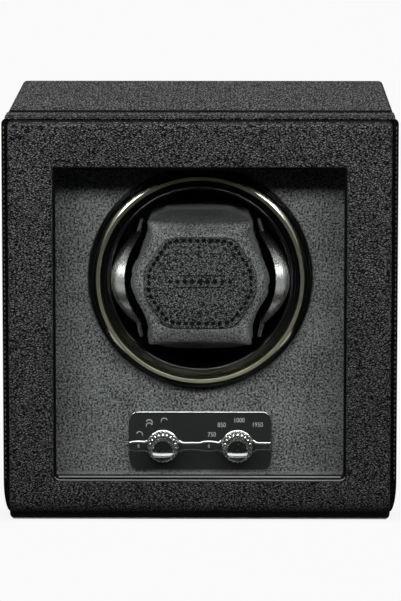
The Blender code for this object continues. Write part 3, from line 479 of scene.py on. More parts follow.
def plastic(name, dark, light, roughness, grain=0.35 * MM, depth=0.012 * MM, spread=0.12, specular=0.5):
    """Moulded plastic or rubber with a fine spark-eroded texture."""
    material, tree, shader, place = start_material(name, Specular_IOR_Level=specular)
    stipple = noise(tree, place, 1 / grain, 3.0, 0.6)
    colour = tint(tree, remap(tree, noise(tree, place, 35.0), 0.3, 0.7), dark, light)
    rough = remap(tree, stipple, 0.3, 0.7, roughness, roughness + spread)
    return finish_material(material, shader, colour, rough, stipple, depth)


def fibreboard(name):
    """Raw board edges and faces: fine tangled fibres, paler on the faces."""
    material, tree, shader, place = start_material(name, Specular_IOR_Level=0.2)
    fibres = noise(tree, shifted(tree, place, 300.0, 2 * MM), 1400.0, 4.0, 0.7)
    mixed = blend(tree, (fibres, 0.6), (noise(tree, place, 45.0, 3.0), 0.4))
    colour = tint(tree, remap(tree, mixed, 0.35, 0.65), (0.24, 0.155, 0.085), (0.42, 0.30, 0.18))
    rough = remap(tree, fibres, 0.3, 0.7, 0.75, 0.95)
    return finish_material(material, shader, colour, rough, fibres, 0.08 * MM)


def circuit(name):
    """A circuit board: green lacquer with slightly lighter copper tracks under it."""
    material, tree, shader, place = start_material(name, Coat_Weight=0.4)
    inputs = {"Vector": place, "Scale": 260.0}
    tracks = node(tree, "ShaderNodeTexVoronoi", inputs, distance="CHEBYCHEV")
    lines = remap(tree, tracks.outputs["Distance"], 0.36, 0.40)
    colour = tint(tree, lines, (0.010, 0.085, 0.035), (0.03, 0.20, 0.09))
    rough = remap(tree, noise(tree, place, 900.0), 0.3, 0.7, 0.3, 0.5)
    return finish_material(material, shader, colour, rough, lines, 0.03 * MM)


def clear_glass(name):
    """A clear pane: what is behind it shows, with a mirror-like film that grows towards the edges."""
    material = bpy.data.materials.new(name)
    material.use_nodes = True
    tree = material.node_tree
    tree.nodes.clear()
    place = node(tree, "ShaderNodeTexCoord").outputs["Object"]
    film = remap(tree, noise(tree, place, 40.0, 3.0), 0.4, 0.8, 0.0, 0.05)
    gloss = node(tree, "ShaderNodeBsdfGlossy", {"Color": (0.9, 0.95, 0.95, 1.0), "Roughness": film})
    through = node(tree, "ShaderNodeBsdfTransparent", {"Color": (0.975, 0.985, 0.98, 1.0)})
    mirror = node(tree, "ShaderNodeFresnel", {"IOR": 1.18})
    shaders = {0: mirror.outputs[0], 1: through.outputs[0], 2: gloss.outputs[0]}
    mixed = node(tree, "ShaderNodeMixShader", shaders)
    output = node(tree, "ShaderNodeOutputMaterial")
    tree.links.new(mixed.outputs[0], output.inputs["Surface"])
    return material


def grey(value):
    return (value, value, value)


def add_look(make, name, *values, **settings):
    LOOKS[name] = make(name, *values, **settings)


LOOKS = {}
pale = (0.165, 0.165, 0.164)
add_look(leather, "pebbled_leather", 0.78 * MM, grey(0.0005), pale, 0.24 * MM, 0.45)
# The frame's leather has painted light: painted shade on its lower rounding and towards its bottom, and a painted
# highlight along its top edge.
dyed = (3.6 * MM, 8.0 * MM)
add_look(leather, "frame_leather", 0.84 * MM, grey(0.0004), grey(0.178), 0.24 * MM, 0.45, dyed=dyed)
add_look(leather, "smooth_leather", 0.72 * MM, grey(0.0012), grey(0.30), 0.24 * MM, 0.45)
# Near-black leather for the lid board and a strip on the frame's top: painted shade where these lie in shadow.
add_look(leather, "painted_shade_leather", 0.85 * MM, grey(0.0008), grey(0.008), 0.12 * MM, 0.6, 0.05)
add_look(leather, "ornament", 0.5 * MM, grey(0.002), grey(0.008), 0.05 * MM, 0.35)
# The lining's suede is painted lighter where it faces up: a painted highlight on the recess floor.
add_look(suede, "suede", (0.017, 0.0176, 0.0174), (0.290, 0.296, 0.293), top=1.7)
nap = ((0.024, 0.0246, 0.0243), (0.335, 0.341, 0.338))
# The cushion's suede is painted darker where it faces up and at its top and bottom ends: painted shade.
add_look(suede, "cushion_suede", *nap, 0.62 * MM, top=0.20, ends=0.20)
add_look(plastic, "thread", grey(0.002), grey(0.008), 0.75, 0.15 * MM, 0.03 * MM, specular=0.1)
add_look(plastic, "pale_thread", grey(0.06), grey(0.13), 0.55, 0.15 * MM, 0.03 * MM)
add_look(fibreboard, "fibreboard")
add_look(clear_glass, "clear_glass")
add_look(plastic, "black_plastic", (0.007, 0.007, 0.008), (0.012, 0.012, 0.013), 0.30)
add_look(plastic, "bead_black", grey(0.002), grey(0.004), 0.4, 0.5 * MM, 0.004 * MM, 0.08, specular=0.05)
# Pale material for rods that stand in for lit edges: painted highlights.
add_look(plastic, "painted_highlight_welt", grey(0.13), grey(0.27), 0.5, 0.8 * MM, 0.02 * MM)
# Pale material for strips that stand in for the pane's lit lower edges: painted highlights.
add_look(plastic, "pane_highlight_strip", grey(0.20), grey(0.30), 0.30, 0.5 * MM, 0.004 * MM, 0.08)
black = ((0.002, 0.002, 0.0025), (0.004, 0.004, 0.005))
add_look(plastic, "drum_black", *black, 0.12, 0.5 * MM, 0.002 * MM, 0.05)
lacquer = ((0.010, 0.0104, 0.0104), (0.014, 0.0145, 0.0145))
add_look(plastic, "gloss_black", *lacquer, 0.34, 0.5 * MM, 0.003 * MM, 0.08)
add_look(metal, "gunmetal", (0.34, 0.33, 0.27), (0.42, 0.40, 0.33), 0.10)
add_look(metal, "bronze", (0.40, 0.385, 0.27), (0.48, 0.46, 0.33), 0.30, depth=0.003 * MM)
brushed = (3000.0, 3000.0, 120.0)
add_look(metal, "satin_gunmetal", grey(0.36), (0.44, 0.44, 0.43), 0.24, brushed, 0.002 * MM)
add_look(metal, "chrome", grey(0.78), grey(0.86), 0.06, depth=0.001 * MM)
rolled = (250.0, 250.0, 2600.0)
add_look(metal, "steel", (0.42, 0.42, 0.43), (0.54, 0.54, 0.55), 0.28, rolled, 0.006 * MM, 0.12)
drawn = (2200.0, 300.0, 2200.0)
add_look(metal, "brass", (0.62, 0.44, 0.17), (0.74, 0.56, 0.27), 0.24, drawn, 0.005 * MM, 0.12)
add_look(plastic, "rubber", grey(0.014), grey(0.024), 0.70, 0.5 * MM, 0.03 * MM, 0.2)
add_look(circuit, "circuit_green")
add_look(plastic, "printing", grey(0.50), grey(0.66), 0.40, 0.3 * MM, 0.004 * MM)


# Case and lid


def make_case_wrap():
    """The leather round the boards, with its front edges turned in and its top lowered for the hinge."""
    low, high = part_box("case_leather")
    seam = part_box("hinge_strip_case")[1].y + GAP
    mouth_x = -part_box("case_left_board")[1].x
    mouth_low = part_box("case_bottom_board")[1].z
    mouth_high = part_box("case_top_board")[0].z

    def shape(inset, drop=0.0):
        edge = max(CASE_EDGE - inset, GAP)
        return outline(high.x - inset, low.z + inset, high.z - inset - drop, edge)

    def mouth(inset):
        return outline(mouth_x - inset, mouth_low + inset, mouth_high - inset, GAP)

    drop = LEATHER + GAP
    rounding = quarter(LEATHER)
    sections = [(high.y - LEATHER / 2, shape(LEATHER))]
    sections += [(high.y - depth / 2, shape(inset / 2)) for inset, depth in rounding]
    for turn in (1.57, 1.2, 0.8, 0.4, 0.0):
        fall = SEAM_ROLL * (1 - math.sin(turn))
        sections.append((seam + SEAM_ROLL * (1 - math.cos(turn)), shape(0, fall)))
    sections += [(seam, shape(0, drop))]
    sections += [(low.y + depth, shape(inset, drop)) for inset, depth in reversed(rounding)]
    lip = quarter(MOUTH_EDGE, 4)
    sections += [(low.y + depth, mouth(inset - MOUTH_EDGE)) for inset, depth in lip]
    sections += [(low.y + LEATHER, mouth(0)), (low.y + LEATHER, shape(LEATHER, drop))]
    wrap = lofted("case_wrap", sections, wrap=True)
    dress(wrap, "pebbled_leather", "case", "pebbled_leather", "case_leather")


def make_hinge():
    """One leather strip from the stitched seam on the top, over the fold, to the lid's back edge."""
    case_low, case_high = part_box("hinge_strip_case")
    lid_low, lid_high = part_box("hinge_strip_lid")
    top, fold = case_high.z - HINGE_SINK, case_low.y
    lid_top = lid_high.z
    under = case_low.z + 0.05 * MM
    section = near(case_high.y, top, (-0.1, -0.30), (-0.5, 0))
    section += near(fold, top, (6, 0), (2.4, 0.1), (1.2, 0.1), (0.7, 0), (0.3, -0.3), (0.05, -0.75))
    section += near(fold, top, (-0.15, -1.0), (-0.4, -1.0)) + near(lid_high.y, top, (-0.1, -0.7))
    section += near(lid_high.y, lid_top, (-0.4, 0)) + near(lid_low.y, lid_top, (1.2, 0), (0.5, -0.08))
    section += near(lid_low.y, lid_top, (0.1, -0.35)) + near(lid_low.y, lid_low.z, (0, -0.2))
    section += near(lid_low.y, lid_low.z, (0.3, -0.2), (0.45, -0.02))
    section += near(lid_high.y, lid_low.z, (-0.2, -0.02))
    section += near(fold, lid_low.z, (-0.3, -0.4), (0.5, -0.3)) + near(fold, under, (1.2, 0))
    section += near(case_high.y, under, (-0.1, 0))
    half = case_high.x
    end = 0.3 * MM
    rings = []
    for x in (-half, end - half, *[half * (i / 12 - 1) for i in range(1, 24)], half - end, half):
        shrink = 0.12 * MM if abs(x) == half else 0.0
        rings.append([(x, y, z - shrink) for y, z in section])
    strip = skinned("hinge_leather", rings, angle=60)
    dress(strip, "pebbled_leather", None, "pebbled_leather", "hinge_strip_case", "hinge_strip_lid")
    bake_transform(strip)

    seam_y = case_high.y - 0.35 * MM
    path = [(-half + 2 * MM, seam_y, top), (half - 2 * MM, seam_y, top)]
    thread = stitches("top_seam_stitches", path, (0, 0, 1), 2.4 * MM, 3.3 * MM, 0.5 * MM)
    dress(thread, "thread", "case", "pebbled_leather")
    # A near-black rod along the seam: painted shade in the seam's groove.
    piping_y, piping_z, reach = seam_y + 0.8 * MM, top + 0.3 * MM, half - 1.2 * MM
    piping = rod("top_seam_shade_piping", (-reach, piping_y, piping_z), (reach, piping_y, piping_z), 0.5 * MM)
    dress(piping, "thread", "case", "pebbled_leather")
    # A near-black rod in the fold between case and lid: painted shade in the fold's groove.
    crease_y, crease_z, reach = fold + 0.15 * MM, top - 0.32 * MM, half - 0.6 * MM
    crease = rod("hinge_crease_shade_rod", (-reach, crease_y, crease_z), (reach, crease_y, crease_z), 0.34 * MM)
    dress(crease, "thread", "case", "pebbled_leather")


def window_shape(grow, corner=WINDOW_EDGE):
    """The window's outline, from the strip that holds the pane."""
    low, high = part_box("glass_retainer")
    inner = REBATE - GAP
    return outline(high.x - inner + grow, low.z + inner - grow, high.z - inner + grow, corner)


def make_lid_board():
    """The leather-covered board behind the frame, with its stitched side flanges."""
    low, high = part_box("lid_board")

    def shape(inset):
        upper, lower = BOARD_CORNERS
        foot, radius = low.z + BOARD_RISE + inset, lower - inset
        stretch = (BOARD_TAPER - inset) / radius
        points = outline(high.x - inset, foot, high.z - inset, upper - inset, radius)
        return [(x, foot + (z - foot) * stretch if z < foot + radius + GAP / 2 else z) for x, z in points]

    rounding = quarter(BOARD_EDGE)
    sections = [(high.y, window_shape(0)), (high.y, shape(BOARD_EDGE / 2))]
    sections += [(high.y - depth / 2, shape(inset / 2)) for inset, depth in rounding[1:]]
    sections += [(low.y + depth, shape(inset)) for inset, depth in reversed(rounding)]
    sections += [(low.y, window_shape(0))]
    board = lofted("lid_board_leather", sections, wrap=True)
    magnet_low, magnet_high, centre = box_with_centre("lid_magnet")
    radius = magnet_high.x + GAP
    cut(board, plug("cut_magnet", centre, radius, magnet_low.y - GAP, high.y + MM))
    # The board's leather is near-black: painted shade on the flanges that lie in the frame's shadow.
    dress(board, "painted_shade_leather", "lid", "pebbled_leather", "lid_board")

    for side, label in ((-1, "left"), (1, "right")):
        x = side * (high.x - 0.9 * MM)
        path = [(x, low.y + 0.02 * MM, low.z + 13 * MM), (x, low.y + 0.02 * MM, high.z - 2.5 * MM)]
        thread = stitches(f"flange_stitches_{label}", path, (0, -1, 0), 1.3 * MM, 1.9 * MM, 0.2 * MM)
        dress(thread, "pale_thread", "lid", "pebbled_leather")


def make_lid_frame():
    """The padded leather frame round the window, rounder along its lower edge than along its top."""
    low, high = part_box("lid_frame")
    front = low.y
    deepest = FRAME_RADII["bottom"]

    def inset(edge, depth):
        radius = FRAME_RADII[edge]
        left = radius - min(depth, radius)
        return radius - math.sqrt(radius**2 - left**2)

    def shape(depth):
        side = inset("side", depth)
        foot = low.z - FRAME_DROP + inset("bottom", depth)
        return outline(high.x - side, foot, high.z - inset("top", depth), max(FRAME_CORNER - side, MM))

    sections = [(high.y, shape(deepest))]
    sections += [(front + depth, shape(depth)) for _, depth in reversed(quarter(deepest, 14))]
    crown = 0.25 * MM
    outer, inner = shape(0), window_shape(WINDOW_EDGE)
    for step in range(1, 8):
        t = step / 8
        between = [(a * (1 - t) + c * t, b * (1 - t) + d * t) for (a, b), (c, d) in zip(outer, inner)]
        sections.append((front - crown * math.sin(math.pi * t), between))
    sections += [(front + depth, window_shape(inset)) for inset, depth in quarter(WINDOW_EDGE)]
    lip = front + FRAME_LIP
    sections += [(lip, window_shape(0)), (lip, window_shape(REBATE)), (high.y, window_shape(REBATE))]
    made = lofted("lid_frame_leather", sections, wrap=True)
    dress(made, "frame_leather", "lid", "pebbled_leather", "lid_frame")

    make_window_edges(front)
    # A near-black strip along the frame's top, behind its front edge: painted shade on that shaded top face.
    reach, depth = high.x - LEATHER, 1.5 * MM
    ends = ((-reach, front + depth, high.z - 0.1 * MM), (reach, high.y - 0.5 * MM, high.z + 0.12 * MM))
    dress(block("frame_top_shade_strip", *ends), "painted_shade_leather", "lid", "pebbled_leather")
    # A pale rod under the frame's lower rounding: a painted highlight along its bottom edge.
    reach, depth, level = reach - 0.2 * MM, 3.4 * MM, low.z - FRAME_DROP + 0.68 * MM
    welt = rod("frame_lower_highlight_welt", (-reach, front + depth, level), (reach, front + depth, level), 0.36 * MM)
    dress(welt, "painted_highlight_welt", "lid", "pebbled_leather")


def make_window_edges(front):
    """The black bead round the pane, pale strips along the pane's lower edges and a pale welt below it, both
    painted highlights, and the strip behind.
    """
    bead_back, corner = front + 3.0 * MM, 1.4 * MM
    sections = [(bead_back, window_shape(0, 1.6 * MM)), (front + BEAD_DEPTH, window_shape(0, 1.6 * MM))]
    for inset, depth in ((0.15, 0.02), (0.70, 0.16), (0.95, 0.30), (1.05, 0.55)):
        sections.append((front + BEAD_DEPTH + depth * MM, window_shape(-inset * MM, corner)))
    sections += [(bead_back, window_shape(-1.05 * MM, corner))]
    dress(lofted("window_bead", sections, wrap=True, angle=50), "bead_black", "lid", "black_plastic")

    side, sill = max(x for x, _ in window_shape(0)), min(z for _, z in window_shape(0))
    half, near_y, far_y = side - 2.0 * MM, front + BEAD_DEPTH - 0.1 * MM, front + 2.2 * MM
    # Two pale strips along the pane's lower edge: painted highlights.
    for number, (lift, tall) in enumerate(((1.25 * MM, 0.17 * MM), (0.0, 0.12 * MM))):
        ends = ((-half, near_y, sill + lift - tall), (half, far_y, sill + lift + tall))
        dress(block(f"pane_highlight_strip_{number + 1}", *ends), "pane_highlight_strip", "lid", "black_plastic")

    # A pale rod along the window's lower edge, turning up at its corners: a painted highlight on the leather's lit
    # edge.
    turn = near(side, sill, (-0.4, 1.25), (-1.0, 0.45), (-2.2, 0.05))
    line = [(-x, z) for x, z in turn] + turn[::-1]
    middle, radius = front + 0.5 * MM, 0.27 * MM
    rings = [[(x, middle + radius * c, z + radius * s) for c, s in circle(10)] for x, z in line]
    dress(skinned("window_lower_highlight_welt", rings, angle=60), "painted_highlight_welt", "lid", "pebbled_leather")

    low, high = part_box("glass_retainer")
    sections = [(low.y, window_shape(REBATE - GAP)), (low.y, window_shape(0))]
    levels = ((low.y + 0.06 * MM, 0.25), (low.y + 0.25 * MM, 0.45), (high.y - 0.2 * MM, 0.45), (high.y, 0.2))
    for y, inset in levels:
        sections.append((y, window_shape(-inset * MM)))
    sections += [(high.y, window_shape(REBATE - GAP))]
    strip = lofted("pane_strip", sections, wrap=True)
    dress(strip, "bead_black", "lid", "black_plastic", "glass_retainer")


# Recess


def make_recess():
    """The suede lining, whose floor is thicker than its sides."""
    low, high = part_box("recess_lining")

    def shape(inset):
        floor = low.z + inset * (1 + FLOOR_RISE / LEATHER)
        return outline(high.x - inset, floor, high.z - inset, 2 * GAP)

    rounding = quarter(LEATHER / 2, 4)
    sections = [(high.y, shape(LEATHER)), (high.y, shape(0))]
    sections += [(low.y + depth, shape(inset)) for inset, depth in reversed(rounding)]
    sections += [(low.y + depth, shape(LEATHER - inset)) for inset, depth in rounding]
    made = lofted("recess_suede", sections, wrap=True)
    dress(made, "suede", "case", "suede", "recess_lining")


def make_fascia():
    """The suede panel, whose nap turns over the edge of the drum's hole, and the hole's black ring."""
    low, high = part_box("fascia_panel")
    bezel_low, bezel_high, centre = box_with_centre("drum_bezel")
    hole = bezel_high.x + GAP
    around = circle(192)

    def ring(radius, y):
        return [(centre.x + radius * c, y, centre.z + radius * s) for c, s in around]

    def rectangle(inset, y):
        """The panel's outline, with its points on the same rays as the hole's."""
        points = []
        for c, s in around:
            tall = high.z - centre.z if s > 0 else centre.z - low.z
            reach = min((high.x - inset) / max(abs(c), TINY), (tall - inset) / max(abs(s), TINY))
            points.append((centre.x + reach * c, y, centre.z + reach * s))
        return points

    edge = 0.8 * MM
    rings = [ring(hole, high.y)]
    rings += [ring(hole + inset, low.y + depth) for inset, depth in reversed(quarter(edge))]
    rings += [rectangle(inset, low.y + depth) for inset, depth in quarter(GAP, 3)]
    rings += [rectangle(0, high.y)]
    panel = skinned("fascia_suede", rings, wrap=True)
    plate_low, plate_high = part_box("control_plate")
    margin, reach = 2.6 * MM, plate_high.x - 4 * MM
    ends = ((-reach, low.y - MM, plate_low.z + margin), (reach, high.y + MM, plate_high.z - margin))
    cut(panel, block("cut_controls", *ends))
    dress(panel, "suede", "case", "suede", "fascia_panel")

    width, inner, outer = 0.5 * MM, bezel_high.x - 1.6 * MM, bezel_high.x
    profile = [(inner, bezel_high.y), (outer, bezel_high.y)]
    profile += arc(outer - width, bezel_low.y + width, width, 0, 90)
    profile += arc(inner + width, bezel_low.y + width, width, 90, 180)
    dress(turned("drum_edge_ring", profile, centre), "drum_black", "case", "black_plastic", "drum_bezel")


# Drum and cushion


def make_drum():
    """The drum's rim, with a gunmetal bevel round a bronze face, and its cup."""
    low, high, centre = box_with_centre("drum_rim")
    barrel = (high.x - low.x) / 2
    outer, inner = barrel + RIM_FLANGE, barrel - 2.0 * MM
    split, edge = outer - 1.4 * MM, 0.25 * MM
    bevel = [(barrel, high.y)] + near(barrel, low.y, (0, 1.8))
    bevel += near(outer, low.y, (0, 1.2), (0, 0.68), (-0.05, 0.58), (-0.12, 0.53))
    bevel += near(split, low.y, (0.12, 0.05), (0, 0)) + [(split, high.y)]
    rim = turned("drum_rim_bevel", bevel, centre, angle=50)
    dress(rim, "gunmetal", "drum", "gunmetal", "drum_rim")
    seam, lip_y = split - 0.01 * MM, low.y + 0.14 * MM
    face = [(seam, high.y), (seam, low.y), (inner + edge, lip_y)]
    face += arc(inner + edge, lip_y + edge, edge, 100, 180, 5) + [(inner, high.y)]
    dress(turned("drum_rim_face", face, centre, angle=50), "bronze", "drum", "gunmetal")

    low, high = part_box("drum_cup")
    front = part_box("fascia_panel")[0].y
    flange, wall, bore = inner - GAP, 1.6 * MM, 35.0 * MM
    body, floor, lip = bore + wall, high.y - 2 * MM, wall / 2
    round_floor, round_flange = 3 * MM, 0.8 * MM
    profile = [(0, floor), (bore * 0.5, floor)]
    profile += arc(bore * 0.55, floor - 0.25 * MM, 0.25 * MM, 270, 180, 3) + [(bore * 0.57, floor)]
    profile += arc(bore - round_floor, floor - round_floor, round_floor, -90, 0, 8)
    profile += arc(bore + lip, low.y + lip, lip, 180, 0, 12) + [(body, front - MM)]
    profile += arc(body + round_flange, front - round_flange, round_flange, 180, 270, 4)
    profile += [(flange, front), (flange, front + 1.5 * MM), (body, front + 1.5 * MM)]
    profile += arc(body - MM, high.y - MM, MM, 0, -90, 5) + [(0, high.y)]
    dress(turned("drum_cup_gloss", profile, centre), "drum_black", "drum", "black_plastic", "drum_cup")


def cushion_start():
    """The cushion before it is filled: a barrel-shaped block with a wider front pad."""
    pad_low, pad_high, centre = box_with_centre("cushion_pad")
    core_low, core_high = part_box("cushion_core")
    slack, rise = 0.5 * MM, 0.4 * MM
    half_height = (pad_high.z - pad_low.z) / 2 + CUSHION_PLUMP
    pad, core = pad_high.x - slack, core_high.x - slack

    def shape(half_width, waist, inset=0.0, lean=1.0, crown=rise):
        """A barrel outline, a little wider at its ends, whose top and bottom rise by crown at the middle."""
        right = []
        for i in range(29):
            z = half_height * math.sin(math.pi / 2 * (i / 14 - 1))
            swell = math.cos(math.pi / 2 * min(abs(z) / CUSHION_FLARE, 1.0))
            flare = 1 + 0.035 * max(0.0, abs(z) / half_height - 0.75) / 0.25
            x = waist * flare + (half_width - waist) * swell - inset
            right.append((x, z * (1 - lean * inset / half_height)))
        x, z = right[-1]
        top = [(x * 0.65, z + crown), (0.0, z + 1.4 * crown), (x * -0.65, z + crown)]
        points = right + top + [(-x, z) for x, z in reversed(right)] + [(-x, -z) for x, z in top]
        return [(centre.x + x, centre.z + z) for x, z in points]

    back, wide = shape(core, core * CORE_WAIST), shape(pad, pad * PAD_WAIST)
    sections = [(core_high.y, shape(core, core * CORE_WAIST, 1.5 * MM)), (core_high.y - 1.5 * MM, back)]
    sections += [(core_low.y + 3 * MM, back), (core_low.y + 0.5 * MM, wide)]
    for inset, depth in reversed(quarter(2.0 * MM)):
        rounded = shape(pad, pad * PAD_WAIST, inset, 2.2, -0.9 * MM)
        sections.append((pad_low.y + slack + depth, rounded))
    return lofted("cushion_suede", sections)


def fill(piece):
    """Fills a closed piece with air as cloth: remeshed, inflated without gravity, and held to a cap."""
    centre = sum((Vector(corner) for corner in piece.bound_box), Vector()) / 8
    enlarge = Matrix.Scale(SIM_SCALE, 4) @ Matrix.Translation(-centre)
    piece.data.transform(enlarge)
    remesh = piece.modifiers.new("remesh", "REMESH")
    remesh.mode = "VOXEL"
    remesh.voxel_size = SIM_VOXEL
    apply_modifiers(piece)
    before = [vertex.co.copy() for vertex in piece.data.vertices]
    cloth = piece.modifiers.new("cloth", "CLOTH")
    cloth.settings.use_pressure = True
    cloth.settings.uniform_pressure_force = SIM_PRESSURE
    cloth.settings.effector_weights.gravity = 0.0
    cloth.settings.quality = 6
    cloth.settings.tension_stiffness = 25
    cloth.settings.compression_stiffness = 25
    cloth.settings.bending_stiffness = 2
    cloth.point_cache.frame_start = 1
    cloth.point_cache.frame_end = SIM_FRAMES
    for number in range(1, SIM_FRAMES + 1):
        scene.frame_set(number)
    apply_modifiers(piece)
    for vertex, rest in zip(piece.data.vertices, before):
        move = vertex.co - rest
        if move.length > SIM_CAP:
            vertex.co = rest + move * (SIM_CAP / move.length)
    scene.frame_set(1)
    smooth = piece.modifiers.new("smooth", "SMOOTH")
    smooth.factor = 0.5
    smooth.iterations = 3
    apply_modifiers(piece)
    piece.data.transform(enlarge.inverted())


def make_cushion():
    """The filled suede cushion, with sockets in its sides for the bows' pegs."""
    piece = cushion_start()
    fill(piece)
    cutters = []
    for node_name, side in (("bow_left", -1), ("bow_right", 1)):
        middle = box_with_centre(node_name)[2].z
        for level in (-1, 1):
            z = middle + level * PEG_HEIGHT
            start, end = (side * SOCKET_START, PEG_Y, z), (side * (SOCKET_START + 14 * MM), PEG_Y, z)
            cutters.append(rod(f"cut_socket_{side}_{level}", start, end, PEG_RADIUS + GAP))
    cut(piece, *cutters)
    piece.data.set_sharp_from_angle(angle=math.radians(60))
    dress(piece, "cushion_suede", "drum", "suede", "cushion_core", "cushion_pad")
    return piece


def rounded_polygon(corners, share=0.2, steps=5):
    """A closed outline whose corners are rounded by curves between points on the neighbouring sides."""
    points = []
    for before, corner, after in zip(corners[-1:] + corners[:-1], corners, corners[1:] + corners[:1]):
        corner = Vector(corner)
        start, end = corner.lerp(Vector(before), share), corner.lerp(Vector(after), share)
        for step in range(steps + 1):
            t = step / steps
            points.append(start.lerp(corner, t).lerp(corner.lerp(end, t), t))
    return points


def make_patch(cushion):
    """The stitched leather patch, laid on the cushion's crowned front, and its pressed ornament."""
    low, high, centre = box_with_centre("cushion_patch")
    half_width, half_height = (high.x - low.x) / 2, (high.z - low.z) / 2
    end, shoulder = half_width * 0.60, half_height * 0.28
    half = ((half_width, -shoulder), (half_width, shoulder), (end, half_height), (-end, half_height))
    shape = rounded_polygon([*half, *[(-x, -z) for x, z in half]])
    tree = BVHTree.FromObject(cushion, bpy.context.evaluated_depsgraph_get())

    def surface(x, z):
        return tree.ray_cast(Vector((x, low.y - 30 * MM, z)), Vector((0, 1, 0)))[0].y

    rest = sum(surface(centre.x + x, centre.z + z) for x, z in shape) / len(shape)
    peak = surface(centre.x, centre.z)

    def level(x, z):
        share = min(1.0, math.hypot(x / half_width, z / half_height))
        return peak + (rest - peak) * share**2 - 0.1 * MM

    def ring(scale, rise):
        """The outline scaled towards the middle, a little more so along its lower edge."""
        tuck = 1 - 0.04 * min(1.0, (1 - scale) / 0.06)
        points = []
        for x, z in shape:
            y = level(x * scale, z * scale) - PATCH_THICKNESS * rise
            points.append((centre.x + x * scale, y, centre.z + (z * scale * tuck if z < 0 else z * scale)))
        return points

    rings = [[(centre.x, level(0, 0) - PATCH_THICKNESS, centre.z)]]
    rings += [ring(scale, 1.0) for scale in (0.15, 0.3, 0.45, 0.6, 0.72, 0.80, 0.84)]
    groove = ((0.855, 0.93), (0.87, 0.70), (0.90, 0.70), (0.915, 0.93))
    edge = ((0.93, 1.0), (0.965, 0.93), (0.985, 0.72), (1.0, 0.3), (1.0, -0.6))
    rings += [ring(scale, rise) for scale, rise in groove + edge]
    rings.append([(centre.x, level(0, 0) + PATCH_THICKNESS / 2, centre.z)])
    patch = skinned("patch_leather", rings, angle=70)
    dress(patch, "smooth_leather", "drum", "smooth_leather", "cushion_patch")

    across, up, down = 0.90, 0.935, 0.865
    path = []
    for x, z in shape:
        x, z = x * across, z * (up if z > 0 else down)
        path.append((centre.x + x, level(x, z) - PATCH_THICKNESS, centre.z + z))
    thread = stitches("patch_stitches", path, (0, -1, 0), 1.8 * MM, 2.65 * MM, 0.62 * MM, closed=True)
    dress(thread, "thread", "drum", "smooth_leather")
    make_ornament(centre, lambda x, z: level(x, z) - PATCH_THICKNESS)


def make_ornament(centre, level):
    """A plain pressed band: a row of lozenges between two thin rules."""
    bm = bmesh.new()
    middle, reach, height = 0.8 * MM, 9.5 * MM, 0.22 * MM
    for number in range(-4, 5):
        x, size = number * 2.9 * MM, 1.35 * MM - abs(number) * 0.08 * MM
        shape = [(x - size, middle), (x, middle - size), (x + size, middle), (x, middle + size)]
        raised_shape(bm, shape, centre, level)
    for z in (-1.5 * MM, 3.1 * MM):
        for step in range(-4, 4):
            start, end = reach * step / 4, reach * (step + 1) / 4
            shape = [(start, z - height), (end, z - height), (end, z + height), (start, z + height)]
            raised_shape(bm, shape, centre, level)
    dress(shaded("patch_ornament", bm), "ornament", "drum", "smooth_leather")


def raised_shape(bm, shape, centre, level):
    """A thin plate of the given outline, standing a little proud of a surface."""
    rise = 0.08 * MM
    front = [(centre.x + x, level(x, z) - rise, centre.z + z) for x, z in shape]
    add_rings(bm, [[(x, y + 4 * rise, z) for x, y, z in front], front])


def make_bow(side, label):
    """One satin side bow: a sloped face that tapers to a point at each end, a side wall and two pegs."""
    low, high, centre = box_with_centre(f"bow_{label}")
    outer = max(abs(low.x), abs(high.x)) + 0.4 * MM
    inner, wall = outer - 5.6 * MM, 1.2 * MM

    def far(z):
        return outer - 0.0305 * (z / MM) ** 2 * MM

    def close_by(z):
        return inner - 0.0132 * abs(z / MM) ** 2.18 * MM

    def lead(z):
        """How far the face has curled back at height z."""
        return BOW_CURL - math.sqrt(BOW_CURL**2 - (z + BOW_APEX) ** 2)

    bm, pegs = bmesh.new(), bmesh.new()
    rings = []
    for step in range(57):
        t = step / 28 - 1
        z = BOW_TIP * math.sin(math.pi / 2 * t)
        pinch = math.sqrt(max(1 - abs(z / BOW_TIP) ** 12, 0.02))
        middle, half = (far(z) + close_by(z)) / 2, (far(z) - close_by(z)) / 2 * pinch
        out, ins, width = middle + half, middle - half, 2 * half
        fall, front = 0.32 * width, low.y + lead(z)
        depth = high.y if abs(t) < 0.9 else front + 5 * MM
        rim, bridge = out - min(0.5 * MM, 0.2 * width), min(wall, 0.45 * width)
        section = [
            (ins, front + fall + 0.9 * MM),
            (ins, front + 0.15 * MM),
            (ins + 0.04 * width, front),
            (ins + 0.5 * width, front + 0.46 * fall),
            (ins + 0.96 * width, front + 0.95 * fall),
            (out, front + fall + 0.1 * MM),
            (rim, front + fall + 0.3 * MM),
            (rim, depth - 0.3 * MM),
            (rim - 0.25 * bridge, depth),
            (rim - 0.75 * bridge, depth),
            (rim - bridge, depth - 0.3 * MM),
            (rim - bridge, front + fall + 0.9 * MM),
        ]
        rings.append([(side * x, y, centre.z + z) for x, y in section])
    add_rings(bm, rings)
    for level in (-1, 1):
        tab = (side, close_by(BOW_TIP) + 1.2 * MM, low.y + lead(level * BOW_TIP), centre.z, level)
        add_rings(bm, tab_rings(*tab))
        z = centre.z + level * PEG_HEIGHT
        add_rings(pegs, peg_rings(side, 21.3 * MM, far(PEG_HEIGHT) - wall, z))
    bow, pair = shaded(f"side_bow_{label}", bm, 40), shaded(f"bow_pegs_{label}", pegs, 40)
    dress(bow, "satin_gunmetal", f"{label}_bow", "gunmetal", f"bow_{label}")
    dress(pair, "bead_black", f"{label}_bow", "black_plastic")


